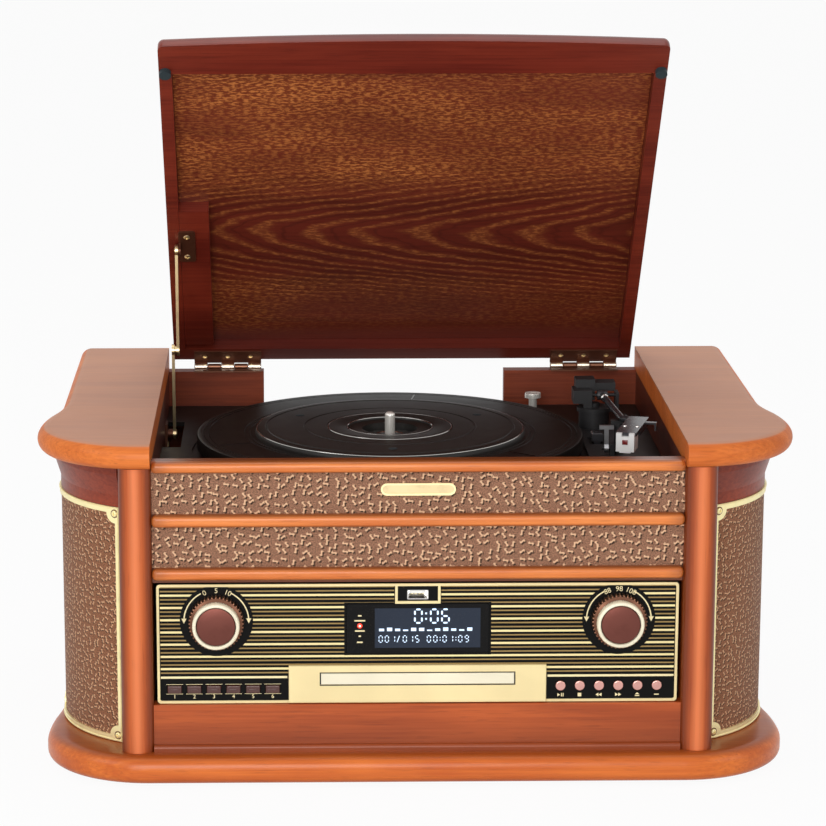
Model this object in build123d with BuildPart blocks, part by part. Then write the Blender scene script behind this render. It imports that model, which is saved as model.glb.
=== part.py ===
from build123d import *
import os
from math import atan2, cos, degrees, hypot, radians, sin

# Stereo music centre: a wooden cabinet with a lidded record deck on top, a radio and
# disc fascia in front and a bowed loudspeaker bay at each front corner.
# Millimetres. +X to the right, +Y to the back, +Z up. X = 0 is the middle of the width,
# Y = 0 the middle of the depth and Z = 0 the surface that the feet stand on.

os.makedirs("parts", exist_ok=True)

# ---------------------------------------------------------------- cabinet, driving sizes
foot_height = 3.0
foot_radius = 9.0
plinth_thickness = 18.5
plinth_margin = 8.8           # plinth beyond the loudspeaker bays
plinth_back_inset = 7.0
plinth_corner_radius = 72.0
plinth_top_round = 8.5
plinth_bottom_round = 5.0
arm_top_z = 232.0             # top of the two flat arms beside the record well
arm_thickness = 16.6
arm_overhang = 2.5            # arms beyond the plinth
arm_back_inset = 11.5
arm_corner_radius = 70.0
arm_setback = 3.0             # front of the arms, behind the front of the plinth
arm_round = 8.2
flare_length = 77.0           # length of the curve that narrows the outline to the back
platter_radius = 135.7
platter_left_margin = 25.4    # platter to the walls of the record well
platter_right_margin = 53.2   # room for the tonearm
platter_front_margin = 17.1
platter_back_margin = 13.1
wall_thickness = 12.0
back_board_thickness = 12.0
face_setback = 12.0           # crown of the pilasters and rails, behind the plinth front
pilaster_width = 21.5
pilaster_depth = 28.0
side_inset = 7.2              # outer face of the side panels, inside the bays' reach
side_thickness = 8.0
seat_gap = 0.2                # between wooden pieces that are set beside each other

# ---------------------------------------------------------------- loudspeaker bays
bay_inset = 43.9              # centre of the bay's curve, inside the pilaster's outer face
bay_setback = 110.5           # centre of the bay's curve, behind the plinth's front
bay_radius = 88.6             # outer face of the gilt frame
bay_start = -60.4             # degrees from +X: the edge beside the pilaster
bay_end = 8.0                 # the edge beside the side panel
frame_thickness = 1.2
frame_bar = 4.0
frame_lobe = 7.0
frame_bottom_gap = 0.5
frieze_height = 31.6          # from the arms down to the gilt frame
frieze_face = 9.3             # upright upper part of the frieze
frieze_depth = 12.0
frieze_proud = 3.4            # how far the frieze's top stands out from the frame
cloth_thickness = 1.9
screw_head_radius = 2.1
screw_head_height = 1.2
screw_shank_radius = 1.1
screw_hole_radius = 1.2
baffle_thickness = 8.0
baffle_reach = 72.0           # from the bay's centre to the flat baffle's front face
baffle_half_width = 39.0
baffle_angle = -24.5
driver_radius = 33.0
driver_flange = 2.5
driver_depth = 24.0
magnet_radius = 17.0
driver_height = 103.0

# ---------------------------------------------------------------- front, between pilasters
rail_depth = 7.8
fascia_rail_gap = 3.5         # fascia to the lowest rail
lower_rail_height = 8.2
lower_strip_height = 27.7     # strips of cloth between the rails
upper_rail_height = 8.4
upper_strip_height = 28.1
top_rail_height = 7.5
rail_end_round = 3.4
front_board_thickness = 6.2
front_board_drop = 2.7        # board behind the rails, below the lower rail
front_cloth_thickness = 1.8
apron_setback = 3.0
apron_lip = 5.0
fascia_side_gap = 2.6
fascia_low = 54.0
fascia_high = 135.6
fascia_thickness = 3.5
fascia_setback = 6.5          # front of the fascia, behind the pilaster crowns
trim_line = 1.7
trim_proud = 0.9
trim_corner = 2.2

# ---------------------------------------------------------------- controls
knob_inset = 39.4             # knobs, inside the fascia's ends
knob_z = 110.5
knob_skirt_radius = 18.2
knob_skirt_depth = 8.6
knob_cap_radius = 15.2
knob_depth = 16.8
knob_gap = 0.5
knob_grooves = 30
knob_groove = 0.8
knob_shaft_radius = 3.0
knob_shaft_length = 12.0
disc_radius = 23.2
disc_thickness = 0.4
shaft_clearance = 0.05
display_half_width = 47.0
display_low = 88.0
display_high = 121.5
display_thickness = 2.4
display_gap = 0.2
usb_half_width = 7.0
usb_height = 6.4
usb_wall = 0.6
usb_depth = 15.0
usb_z = 127.8
usb_tab_half_width = 15.0
usb_tab_low = 121.9
bezel_half_width = 85.4
bezel_high = 79.8
bezel_proud = 2.2
tray_half_width = 64.0
tray_front_low = 67.0
tray_front_high = 74.4
tray_gap = 0.4
tray_length = 146.0
tray_plate_low = 68.0
tray_plate_high = 73.2
disc_recess_radius = 60.5
small_disc_radius = 40.5
disc_recess_depth = 2.2
button_gap = 0.25
button_proud = 1.8
button_depth = 7.0
key_gap = 3.7
key_end_margin = 6.65         # keys to the fascia's left end
key_bezel_margin = 6.05       # keys to the disc bezel
key_z = 63.6
key_height = 5.3
round_end_margin = 10.0       # round buttons to the fascia's right end
round_bezel_margin = 6.2
round_z = 65.0
round_radius = 3.4
keys_per_side = 6

# ---------------------------------------------------------------- deck
deck_top = 190.0
deck_thickness = 3.0
spindle_radius = 3.55         # for the 7.24 mm hole of a record
spindle_shoulder_radius = 4.4 # the shaft that the platter turns on
spindle_shoulder_rise = 0.4   # shoulder above the floor of the hub recess
spindle_top = 217.0
platter_rim_top = 203.0
plateau_radius = 94.0
plateau_top = 206.8
platter_web = 3.0
platter_skirt_low = 193.5
platter_skirt = 3.2
hub_ring_radius = 44.5
hub_recess_radius = 19.5
hub_recess_floor = 199.0
hub_boss_radius = 12.0
hub_boss_low = 192.0
pad_radius = 3.0
pad_circle = 73.0
pad_height = 0.2
pad_angle = 30.0
drum_radius = 82.0            # the ring below the platter that the belt runs on
drum_wall = 4.0
drum_low = 194.0
belt_thickness = 1.0
belt_low = 195.0
belt_width = 3.6
belt_gap = 0.2
motor_reach = 104.0
motor_angle = 135.0
pulley_radius = 6.0
pulley_low = 194.2
pulley_height = 5.3
motor_radius = 14.0
motor_height = 22.0
motor_shaft_radius = 1.0
transit_side_inset = 79.4     # transit screw, inside the well's right wall
transit_back_inset = 29.8
transit_top = 205.5

# ---------------------------------------------------------------- tonearm
turret_inset = 39.0           # turret's axis, inside the well's right wall
turret_back_inset = 82.8      # and in front of the well's back
column_radius = 11.0
column_top = 203.0
flange_radius = 12.5
flange_thickness = 3.0
flange_gap = 0.2
turret_pin_radius = 4.0
turret_pin_height = 6.0
record_clear_z = 209.4        # pieces that reach over a record's edge stay above this
pivot_pin_radius = 1.2
ball_offset = 5.7             # the tube's pivot, to the right of the turret's axis
ball_z = 214.5
ball_radius = 3.6
tube_radius = 2.3
tube_bend_offset = 11.0       # the tube's bend, to the right of the turret's axis
tube_bend_reach = 92.0        # the tube's bend, in front of the turret's axis
tube_bend_z = 216.9
shell_rear_offset = 21.0
shell_rear_reach = 106.0
shell_front_offset = 6.9
shell_front_reach = 157.0
shell_width = 14.0
shell_thickness = 2.4
shell_top = 221.3
cartridge_width = 12.4
cartridge_length = 16.0
cartridge_low = 208.6
stylus_clear = 0.6            # stylus tip above the platter's plateau
rest_offset = 9.5
rest_reach = 85.0             # arm rest, in front of the turret's axis
rest_radius = 3.5
rest_width = 11.0
rest_top = 214.2
rest_height = 4.2
rest_half_depth = 3.0
clip_thickness = 1.4          # upright clip at the rest's outer end
clip_gap = 0.1
clip_rise = 3.6
cue_offset = 0.2
cue_reach = 92.0
cue_pivot_z = 196.0
cue_low = 209.4
cue_high = 212.2
speed_offset = -2.0
speed_reach = 46.4

# ---------------------------------------------------------------- lid, hinges and stay
open_angle = 49.2             # degrees that the lid stands open, with the stay straight
pin_y_inset = 4.0             # hinge pin, in front of the back board's outer face
hinge_board_top = 216.2
ear_margin = 2.0              # left hinge board, beyond its hinge
ear_reach = 35.0              # right hinge board, beyond its hinge
knuckle_radius = 2.1
knuckle_seat = 0.1
hinge_pin_radius = 0.9
leaf_thickness = 1.0
knuckle_length = 10.0
knuckle_count = 5
knuckle_gap = 0.2
leaf_depth = 9.0
lid_leaf_depth = 10.0
hinge_left_inset = 15.0       # outer end of the left hinge, inside the lid's side
hinge_right_inset = 10.0
lid_above_pin = 4.6
lid_rear_gap = 3.0            # lid's rear edge, in front of the pin
lid_front_overhang = 4.0      # lid, in front of the plinth when shut
lid_side_gap = 4.0            # lid, inside the record well
lid_bow = 5.0                 # the front edge's curve in plan
lid_thickness = 13.5
lid_front_round = 12.0
lid_side_round = 4.0
lid_recess = 9.5
lid_panel_thickness = 2.0
lid_side_rail = 8.6
lid_rear_rail = 12.3
lid_front_rail = 26.5
bumper_radius = 4.0
bumper_height = 3.6
stay_block_width = 21.0
stay_block_start = 17.7
stay_block_end = 169.2
bracket_thickness = 1.5
bracket_width = 12.0
bracket_low = 116.0
bracket_high = 148.5
stay_pin_radius = 2.0
stay_eye_radius = 4.2
stay_bore_clearance = 0.05
stay_arm_width = 6.4
stay_arm_thickness = 2.0
stay_upper_gap = 1.6          # middle of the upper arm, outside its bracket
stay_arm_pitch = 3.5          # from the upper arm to the lower one
stay_top_reach = 133.0        # from the lid's rear edge to the stay's upper pivot
stay_top_drop = 5.0
stay_foot_inset = 80.0        # the stay's foot, in front of the back board's outer face
stay_foot_z = 184.0
stay_share = 0.54             # the upper arm's share of the straight stay
stay_slot_ahead = 72.0        # slot in the deck, in front of the stay's foot
stay_slot_behind = 11.0
stay_slot_width = 13.5

# ---------------------------------------------------------------- worked out from them
well_half_width = platter_radius + (platter_left_margin + platter_right_margin) / 2
well_depth = platter_front_margin + 2 * platter_radius + platter_back_margin + 2 * seat_gap
depth = face_setback + rail_depth + front_board_thickness + well_depth + back_board_thickness
front_y = -depth / 2
pilaster_outer = well_half_width + pilaster_width
bay_x = pilaster_outer - bay_inset
bay_y = front_y + bay_setback
plinth_half_width = bay_x + bay_radius + plinth_margin
plinth_back_half = plinth_half_width - plinth_back_inset
arm_half_width = plinth_half_width + arm_overhang
arm_back_half = arm_half_width - arm_back_inset
side_half_width = bay_x + bay_radius - side_inset
fascia_half_width = well_half_width - fascia_side_gap
knob_x = fascia_half_width - knob_inset
button_room = fascia_half_width - bezel_half_width
key_room = button_room - key_end_margin - key_bezel_margin
key_pitch = (key_room + key_gap) / keys_per_side
key_width = key_pitch - key_gap
key_middle_x = -(bezel_half_width + key_bezel_margin + key_room / 2)
round_room = button_room - round_end_margin - round_bezel_margin
round_pitch = (round_room - 2 * round_radius) / (keys_per_side - 1)
round_middle_x = bezel_half_width + round_bezel_margin + round_room / 2
turret_x = well_half_width - turret_inset
ball_x = turret_x + ball_offset
tube_bend_x = turret_x + tube_bend_offset
shell_rear_x = turret_x + shell_rear_offset
shell_front_x = turret_x + shell_front_offset
rest_x = turret_x + rest_offset
cue_x = turret_x + cue_offset
speed_x = turret_x + speed_offset
lid_half_width = well_half_width - lid_side_gap
hinge_length = knuckle_count * knuckle_length
hinge_left_x = hinge_left_inset - lid_half_width
hinge_right_x = lid_half_width - hinge_right_inset - hinge_length
ear_left_end = hinge_left_x + hinge_length + ear_margin
ear_right_end = hinge_right_x - ear_reach
back_y = depth / 2
plinth_top = foot_height + plinth_thickness
arm_bottom = arm_top_z - arm_thickness
arm_front = front_y + arm_setback
face_y = front_y + face_setback
board_face = back_y - back_board_thickness
rail_back = face_y + rail_depth
front_wall_back = rail_back + front_board_thickness
bay_top = arm_bottom - frieze_height
bay_low = plinth_top + frame_bottom_gap
fascia_front = face_y + fascia_setback
fascia_back = fascia_front + fascia_thickness
deck_low = deck_top - deck_thickness
well_front = front_wall_back + seat_gap
well_back = board_face - seat_gap
spindle_x = platter_left_margin + platter_radius - well_half_width
spindle_y = well_front + platter_front_margin + platter_radius
transit_x = well_half_width - transit_side_inset
transit_y = well_back - transit_back_inset
turret_y = well_back - turret_back_inset
tube_bend_y = turret_y - tube_bend_reach
shell_rear_y = turret_y - shell_rear_reach
shell_front_y = turret_y - shell_front_reach
rest_y = turret_y - rest_reach
cue_y = turret_y - cue_reach
speed_y = turret_y - speed_reach
lid_length = depth - pin_y_inset - lid_rear_gap + lid_front_overhang
stay_foot_y = back_y - stay_foot_inset
stay_slot_front = stay_foot_y - stay_slot_ahead
stay_slot_back = stay_foot_y + stay_slot_behind
lower_rail_low = fascia_high + fascia_rail_gap
upper_rail_low = lower_rail_low + lower_rail_height + lower_strip_height
top_rail_low = upper_rail_low + upper_rail_height + upper_strip_height
pin_y = back_y - pin_y_inset
pin_z = hinge_board_top + knuckle_seat + knuckle_radius
arm_plane = Plane.XY.offset(arm_bottom)
bay_axis = Axis((bay_x, bay_y, 0), (0, 0, 1))
bay_sweep = bay_end - bay_start


def save(piece, name):
    """Labels a finished piece and writes its STEP file."""
    piece.part.label = name
    export_step(piece.part, f"parts/{name}.step")


def half_outline(inner, back_half, full_half, radius, front, back):
    """Draws the right half of the cabinet's outline: straight back, flare, round corner."""
    corner_y = front + radius
    middle = ((back_half + full_half) / 2, corner_y + flare_length / 2)
    side = Line((back_half, back), (back_half, corner_y + flare_length))
    flare = TangentArc(side @ 1, middle, tangent=(0, -1))
    TangentArc(flare @ 1, (full_half, corner_y), tangent=flare % 1)
    corner = CenterArc((full_half - radius, corner_y), radius, 0, -90)
    Polyline(corner @ 1, (inner, front), (inner, back), side @ 0)


def bay_profile_plane(angle):
    """Upright plane through the bay's axis: x is the distance from the axis, y is height."""
    a = radians(angle)
    return Plane(origin=(bay_x, bay_y, 0), x_dir=(cos(a), sin(a), 0), z_dir=(sin(a), -cos(a), 0))


def bay_face_plane(angle, reach, height):
    """Plane that faces out of the bay at an angle, a reach from its axis and a height."""
    a = radians(angle)
    spot = (bay_x + reach * cos(a), bay_y + reach * sin(a), height)
    return Plane(origin=spot, x_dir=(-sin(a), cos(a), 0), z_dir=(cos(a), sin(a), 0))


def bay_shell(inner, outer, low, high, start, sweep, mode=Mode.ADD):
    """Adds or cuts a curved wall of the bay between two radii and two heights."""
    with BuildSketch(bay_profile_plane(start)) as wall:
        with Locations(((inner + outer) / 2, (low + high) / 2)):
            Rectangle(outer - inner, high - low)
    revolve(wall.sketch, axis=bay_axis, revolution_arc=sweep, mode=mode)


def slab(x0, x1, y0, y1, z0, z1, mode=Mode.ADD):
    """Adds or cuts a block between two corners of the active frame."""
    with Locations(((x0 + x1) / 2, (y0 + y1) / 2, (z0 + z1) / 2)):
        return Box(abs(x1 - x0), abs(y1 - y0), abs(z1 - z0), mode=mode)


def pilaster_room():
    """Cuts a piece of the right-hand bay back to clear the pilaster beside it."""
    slab(well_half_width, pilaster_outer + seat_gap, front_y, bay_y, plinth_top - 1, arm_bottom + 1,
         Mode.SUBTRACT)


# ================================================================ cabinet
with BuildPart() as plinth:
    with BuildSketch(Plane.XY.offset(foot_height)):
        with BuildLine():
            half_outline(0, plinth_back_half, plinth_half_width, plinth_corner_radius, front_y, back_y)
        make_face()
        mirror(about=Plane.YZ)
    extrude(amount=plinth_thickness)
    rims = plinth.edges().filter_by(lambda e: e.center().Y < back_y - 1)
    fillet(rims.group_by(Axis.Z)[-1], plinth_top_round)
    rims = plinth.edges().filter_by(lambda e: e.center().Y < back_y - 1)
    fillet(rims.group_by(Axis.Z)[0], plinth_bottom_round)
save(plinth, "plinth")

foot_inset_x = 60.0
foot_inset_y = 45.0
with BuildPart() as rubber_feet:
    with GridLocations(2 * (plinth_half_width - foot_inset_x), depth - 2 * foot_inset_y, 2, 2):
        Cylinder(foot_radius, foot_height, align=(Align.CENTER, Align.CENTER, Align.MIN))
    chamfer(rubber_feet.edges().group_by(Axis.Z)[0], 0.6)
save(rubber_feet, "rubber_feet")

with BuildPart() as arm_tops:
    with BuildSketch(arm_plane):
        with BuildLine():
            half_outline(well_half_width, arm_back_half, arm_half_width, arm_corner_radius, arm_front, back_y)
        make_face()
        mirror(about=Plane.YZ)
    extrude(amount=arm_thickness)
    rims = arm_tops.edges().filter_by(
        lambda e: e.center().Y < back_y - 1 and abs(e.center().X) > well_half_width + 0.1)
    fillet(rims.group_by(Axis.Z)[-1] + rims.group_by(Axis.Z)[0], arm_round)
save(arm_tops, "arm_tops")

# Side panels with a rounded stile behind each bay, and the walls of the record well.
stile_y = bay_y + (bay_radius + 0.4) * sin(radians(bay_end)) + 0.3
stile_x = bay_x + bay_radius * cos(radians(bay_end)) + 0.8
stile_depth = 9.0
with BuildPart() as cabinet_sides:
    with BuildSketch(Plane.XY.offset(plinth_top)) as side_plan:
        with BuildLine():
            Polyline(
                (side_half_width, board_face), (side_half_width, stile_y + stile_depth + 4),
                (stile_x, stile_y + stile_depth), (stile_x, stile_y),
                (side_half_width - side_thickness, stile_y),
                (side_half_width - side_thickness, board_face), close=True)
        make_face()
        fillet(side_plan.vertices().filter_by(lambda v: abs(v.X - stile_x) < 0.1), 2.0)
        mirror(about=Plane.YZ)
    extrude(amount=arm_bottom - plinth_top)
    for side in (-1, 1):
        slab(side * well_half_width, side * (well_half_width + wall_thickness),
             face_y + pilaster_depth, board_face, plinth_top, arm_bottom)
save(cabinet_sides, "cabinet_sides")

# One board closes the back. Its two ears carry the hinges, and a record's edge passes
# between them.
socket_half_width = 62.0
socket_low = 62.0
socket_high = 104.0
with BuildPart() as back_board:
    slab(-side_half_width, side_half_width, board_face, back_y, plinth_top, deck_top)
    for side in (-1, 1):
        slab(side * well_half_width, side * side_half_width, board_face, back_y, deck_top, arm_bottom)
    slab(-well_half_width, ear_left_end, board_face, back_y, deck_top, hinge_board_top)
    slab(ear_right_end, well_half_width, board_face, back_y, deck_top, hinge_board_top)
    slab(-socket_half_width, socket_half_width, board_face, back_y, socket_low, socket_high, Mode.SUBTRACT)
save(back_board, "back_board")

# ================================================================ loudspeaker bays
with BuildPart() as grille_window:
    bar_angle = degrees(frame_bar / bay_radius)
    bay_shell(bay_radius - 6, bay_radius + 4, bay_low + frame_bar, bay_top - frame_bar,
              bay_start + bar_angle, bay_sweep - 2 * bar_angle)
    for angle in (bay_start + bar_angle, bay_end - bar_angle):
        for height in (bay_low + frame_bar, bay_top - frame_bar):
            with Locations(bay_face_plane(angle, bay_radius, height)):
                Cylinder(frame_lobe, 16, mode=Mode.SUBTRACT)

lobe_angle = degrees(frame_lobe * 0.62 / bay_radius)
lobe_step = frame_lobe * 0.62
screw_places = [
    (angle, height)
    for angle in (bay_start + lobe_angle, bay_end - lobe_angle)
    for height in (bay_low + lobe_step, bay_top - lobe_step)
]
with BuildPart() as grille_frames:
    bay_shell(bay_radius - frame_thickness, bay_radius, bay_low, bay_top, bay_start, bay_sweep)
    add(grille_window.part, mode=Mode.SUBTRACT)
    for angle, height in screw_places:
        with Locations(bay_face_plane(angle, bay_radius, height)):
            Cylinder(screw_hole_radius, 8, mode=Mode.SUBTRACT)
    pilaster_room()
    mirror(about=Plane.YZ)
save(grille_frames, "grille_frames")

cloth_outer = bay_radius - frame_thickness
with BuildPart() as grille_cloths:
    bay_shell(cloth_outer - cloth_thickness, cloth_outer, bay_low, bay_top, bay_start, bay_sweep)
    pilaster_room()
    mirror(about=Plane.YZ)
save(grille_cloths, "grille_cloths")

with BuildPart() as grille_screws:
    for angle, height in screw_places:
        with BuildSketch(bay_face_plane(angle, cloth_outer, height)):
            Circle(screw_shank_radius)
        extrude(amount=frame_thickness + 0.2)
        with BuildSketch(bay_face_plane(angle, bay_radius + 0.1, height)):
            Circle(screw_head_radius)
        extrude(amount=screw_head_height, taper=18)
    mirror(about=Plane.YZ)
save(grille_screws, "grille_screws")

# The frieze stands over each bay: an upright face, then a slope down to the grille.
frieze_outer = bay_radius + frieze_proud
with BuildPart() as friezes:
    with BuildSketch(bay_profile_plane(bay_start)):
        with BuildLine():
            Polyline(
                (frieze_outer - frieze_depth, arm_bottom), (frieze_outer, arm_bottom),
                (frieze_outer, arm_bottom - frieze_face), (bay_radius - 1.0, bay_top + 8.0),
                (bay_radius - 1.0, bay_top + seat_gap), (frieze_outer - frieze_depth, bay_top + seat_gap),
                close=True)
        make_face()
    revolve(axis=bay_axis, revolution_arc=bay_sweep)
    pilaster_room()
    mirror(about=Plane.YZ)
save(friezes, "friezes")

# Flat boards behind the cloth carry the loudspeaker drivers.
baffle_front = bay_face_plane(baffle_angle, baffle_reach, (plinth_top + bay_top) / 2)
with BuildPart() as speaker_baffles:
    with BuildSketch(baffle_front):
        Rectangle(2 * baffle_half_width, bay_top - plinth_top)
        with Locations((0, driver_height - (plinth_top + bay_top) / 2)):
            Circle(driver_radius - 5, mode=Mode.SUBTRACT)
    extrude(amount=-baffle_thickness)
    mirror(about=Plane.YZ)
save(speaker_baffles, "speaker_baffles")

driver_base = bay_face_plane(baffle_angle, baffle_reach, driver_height)
driver_side = Plane(origin=driver_base.origin, x_dir=driver_base.x_dir, z_dir=-driver_base.y_dir)
with BuildPart() as speaker_drivers:
    with BuildSketch(driver_side):
        with BuildLine():
            Polyline(
                (0, -driver_depth), (magnet_radius, -driver_depth), (magnet_radius, 9 - driver_depth),
                (driver_radius - 5.5, -2), (driver_radius - 5.5, 0),
                (driver_radius, 0), (driver_radius, driver_flange), (driver_radius - 4, driver_flange),
                (driver_radius - 8, 0.6), (9, -9), (7, -7.5), (0, -6), close=True)
        make_face()
    revolve(axis=Axis(driver_base.origin, driver_base.z_dir))
    mirror(about=Plane.YZ)
save(speaker_drivers, "speaker_drivers")

# ================================================================ front
with BuildPart() as front_frame:
    with BuildSketch(Plane.XY.offset(plinth_top)) as pilaster_plan:
        with Locations(((well_half_width + pilaster_outer) / 2, face_y + pilaster_depth / 2)):
            Rectangle(pilaster_width, pilaster_depth)
        fillet(pilaster_plan.vertices().group_by(Axis.Y)[0].sort_by(Axis.X)[-1], 9.0)
        fillet(pilaster_plan.vertices().group_by(Axis.Y)[0].sort_by(Axis.X)[0], 4.0)
        mirror(about=Plane.YZ)
    extrude(amount=arm_bottom - plinth_top)
    slab(-well_half_width, well_half_width, face_y + apron_setback, front_wall_back,
         plinth_top, fascia_low - 0.4)
    with BuildSketch(Plane.YZ.offset(-well_half_width)) as lip_profile:
        with Locations((face_y + apron_setback, plinth_top)):
            Rectangle(apron_setback, apron_lip, align=(Align.MAX, Align.MIN))
        fillet(lip_profile.vertices().group_by(Axis.X)[0].group_by(Axis.Y)[-1], 2.4)
    extrude(amount=2 * well_half_width)
save(front_frame, "front_frame")


def half_round(low, height, back):
    """Adds a moulding with rounded ends across the front, its flat back at a depth."""
    with BuildSketch(Plane.XZ.offset(-back)) as face:
        with Locations((0, low + height / 2)):
            RectangleRounded(2 * (well_half_width - seat_gap), height, rail_end_round)
    extrude(face.sketch, amount=back - face_y)


with BuildPart() as front_rails:
    half_round(upper_rail_low, upper_rail_height, rail_back)
    half_round(lower_rail_low, lower_rail_height, rail_back)
    half_round(top_rail_low, top_rail_height, rail_back)
    fillet(front_rails.faces().group_by(Axis.Y)[0].edges(), rail_end_round - 0.1)
    slab(-well_half_width + seat_gap, well_half_width - seat_gap, rail_back - 3, front_wall_back,
         top_rail_low, top_rail_low + top_rail_height)
    slab(-well_half_width + seat_gap, well_half_width - seat_gap, rail_back, front_wall_back,
         lower_rail_low - front_board_drop, top_rail_low)
save(front_rails, "front_rails")

with BuildPart() as front_cloths:
    cloth_face = rail_back - front_cloth_thickness
    lower_strip = (lower_rail_low + lower_rail_height, upper_rail_low)
    upper_strip = (upper_rail_low + upper_rail_height, top_rail_low)
    for low, high in (lower_strip, upper_strip):
        slab(-well_half_width + seat_gap, well_half_width - seat_gap, cloth_face, rail_back,
             low, high)
save(front_cloths, "front_cloths")

# Fascia: a black plate pierced for the display, the disc slot, the knobs and the buttons. A
# small plate of its own, let in at the top, carries the socket.
socket_plate_gap = 0.1
usb_gap = 0.15                # socket's shell to the plate
socket_plate_half = usb_tab_half_width - trim_line / 2
key_xs = [key_middle_x + (i - (keys_per_side - 1) / 2) * key_pitch for i in range(keys_per_side)]
round_xs = [round_middle_x + (i - (keys_per_side - 1) / 2) * round_pitch for i in range(keys_per_side)]
fascia_face = Plane.XZ.offset(-fascia_front)
fascia_mid_z = (fascia_low + fascia_high) / 2
tray_mid_z = (tray_front_low + tray_front_high) / 2
tray_slot_width = 2 * (tray_half_width + tray_gap)
tray_slot_height = tray_front_high - tray_front_low + 2 * tray_gap
display_mid_z = (display_low + display_high) / 2
usb_hole_width = 2 * (usb_half_width + usb_gap)
usb_hole_height = usb_height + 2 * usb_gap
with BuildPart() as fascia_panel:
    with BuildSketch(fascia_face):
        with Locations((0, fascia_mid_z)):
            Rectangle(2 * fascia_half_width, fascia_high - fascia_low)
        with Locations((0, display_mid_z)):
            Rectangle(2 * (display_half_width + display_gap), display_high - display_low + 2 * display_gap,
                      mode=Mode.SUBTRACT)
        with Locations((0, tray_mid_z)):
            Rectangle(tray_slot_width, tray_slot_height, mode=Mode.SUBTRACT)
        with Locations((0, display_mid_z)):
            Rectangle(2 * (socket_plate_half + socket_plate_gap), fascia_high - display_mid_z,
                      align=(Align.CENTER, Align.MIN), mode=Mode.SUBTRACT)
        with Locations((-knob_x, knob_z), (knob_x, knob_z)):
            Circle(knob_shaft_radius + shaft_clearance, mode=Mode.SUBTRACT)
        with Locations([(x, key_z) for x in key_xs]):
            Rectangle(key_width + 2 * button_gap, key_height + 2 * button_gap, mode=Mode.SUBTRACT)
        with Locations([(x, round_z) for x in round_xs]):
            Circle(round_radius + button_gap, mode=Mode.SUBTRACT)
    extrude(amount=-fascia_thickness)
    with BuildSketch(fascia_face):
        with Locations((0, usb_tab_low)):
            Rectangle(2 * socket_plate_half, fascia_high - usb_tab_low, align=(Align.CENTER, Align.MIN))
        with Locations((0, usb_z)):
            Rectangle(usb_hole_width, usb_hole_height, mode=Mode.SUBTRACT)
    extrude(amount=-fascia_thickness)
    with BuildSketch(Plane.XZ.offset(-fascia_back)):
        with Locations((-knob_x, knob_z), (knob_x, knob_z)):
            Circle(knob_shaft_radius + 3)
            Circle(knob_shaft_radius + shaft_clearance, mode=Mode.SUBTRACT)
    extrude(amount=-6)
    with Locations((-knob_x, fascia_front, knob_z), (knob_x, fascia_front, knob_z)):
        Cylinder(disc_radius, 2 * disc_thickness, rotation=(90, 0, 0))
        Cylinder(knob_shaft_radius + shaft_clearance, 4, rotation=(90, 0, 0), mode=Mode.SUBTRACT)
save(fascia_panel, "fascia_panel")

# Cream mouldings on the fascia: border line, socket tab, disc bezel.
with BuildPart() as fascia_trim:
    with BuildSketch(fascia_face):
        with Locations((0, fascia_mid_z)):
            RectangleRounded(2 * fascia_half_width, fascia_high - fascia_low, trim_corner)
            RectangleRounded(2 * (fascia_half_width - trim_line), fascia_high - fascia_low - 2 * trim_line,
                             trim_corner - 0.8, mode=Mode.SUBTRACT)
        with Locations((0, usb_tab_low)):
            Rectangle(2 * usb_tab_half_width, fascia_high - usb_tab_low - trim_line / 2,
                      align=(Align.CENTER, Align.MIN))
        with Locations((0, usb_tab_low + trim_line)):
            Rectangle(2 * (usb_tab_half_width - trim_line), fascia_high - usb_tab_low - 2 * trim_line,
                      align=(Align.CENTER, Align.MIN), mode=Mode.SUBTRACT)
    extrude(amount=trim_proud)
    with BuildSketch(fascia_face):
        with Locations((0, (fascia_low + 0.2 + bezel_high) / 2)):
            Rectangle(2 * bezel_half_width, bezel_high - fascia_low - 0.2)
        with Locations((0, tray_mid_z)):
            Rectangle(tray_slot_width, tray_slot_height, mode=Mode.SUBTRACT)
    extrude(amount=bezel_proud)
    chamfer(fascia_trim.faces().group_by(Axis.Y)[0].edges().filter_by(GeomType.LINE), 0.4)
save(fascia_trim, "fascia_trim")

with BuildPart() as display_window:
    with BuildSketch(Plane.XZ.offset(-fascia_front + 0.3)):
        with Locations((0, display_mid_z)):
            RectangleRounded(2 * display_half_width, display_high - display_low, 1.0)
    extrude(amount=-display_thickness - 0.3)
save(display_window, "display_window")

with BuildPart() as usb_socket:
    with BuildSketch(fascia_face) as shell_mouth:
        with Locations((0, usb_z)):
            RectangleRounded(2 * usb_half_width, usb_height, 0.8)
            RectangleRounded(2 * (usb_half_width - usb_wall), usb_height - 2 * usb_wall, 0.4,
                             mode=Mode.SUBTRACT)
    extrude(amount=-usb_depth)
    slab(-usb_half_width, usb_half_width, fascia_front + usb_depth, fascia_front + usb_depth + 1.5,
         usb_z - usb_height / 2, usb_z + usb_height / 2)
save(usb_socket, "usb_socket")


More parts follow.
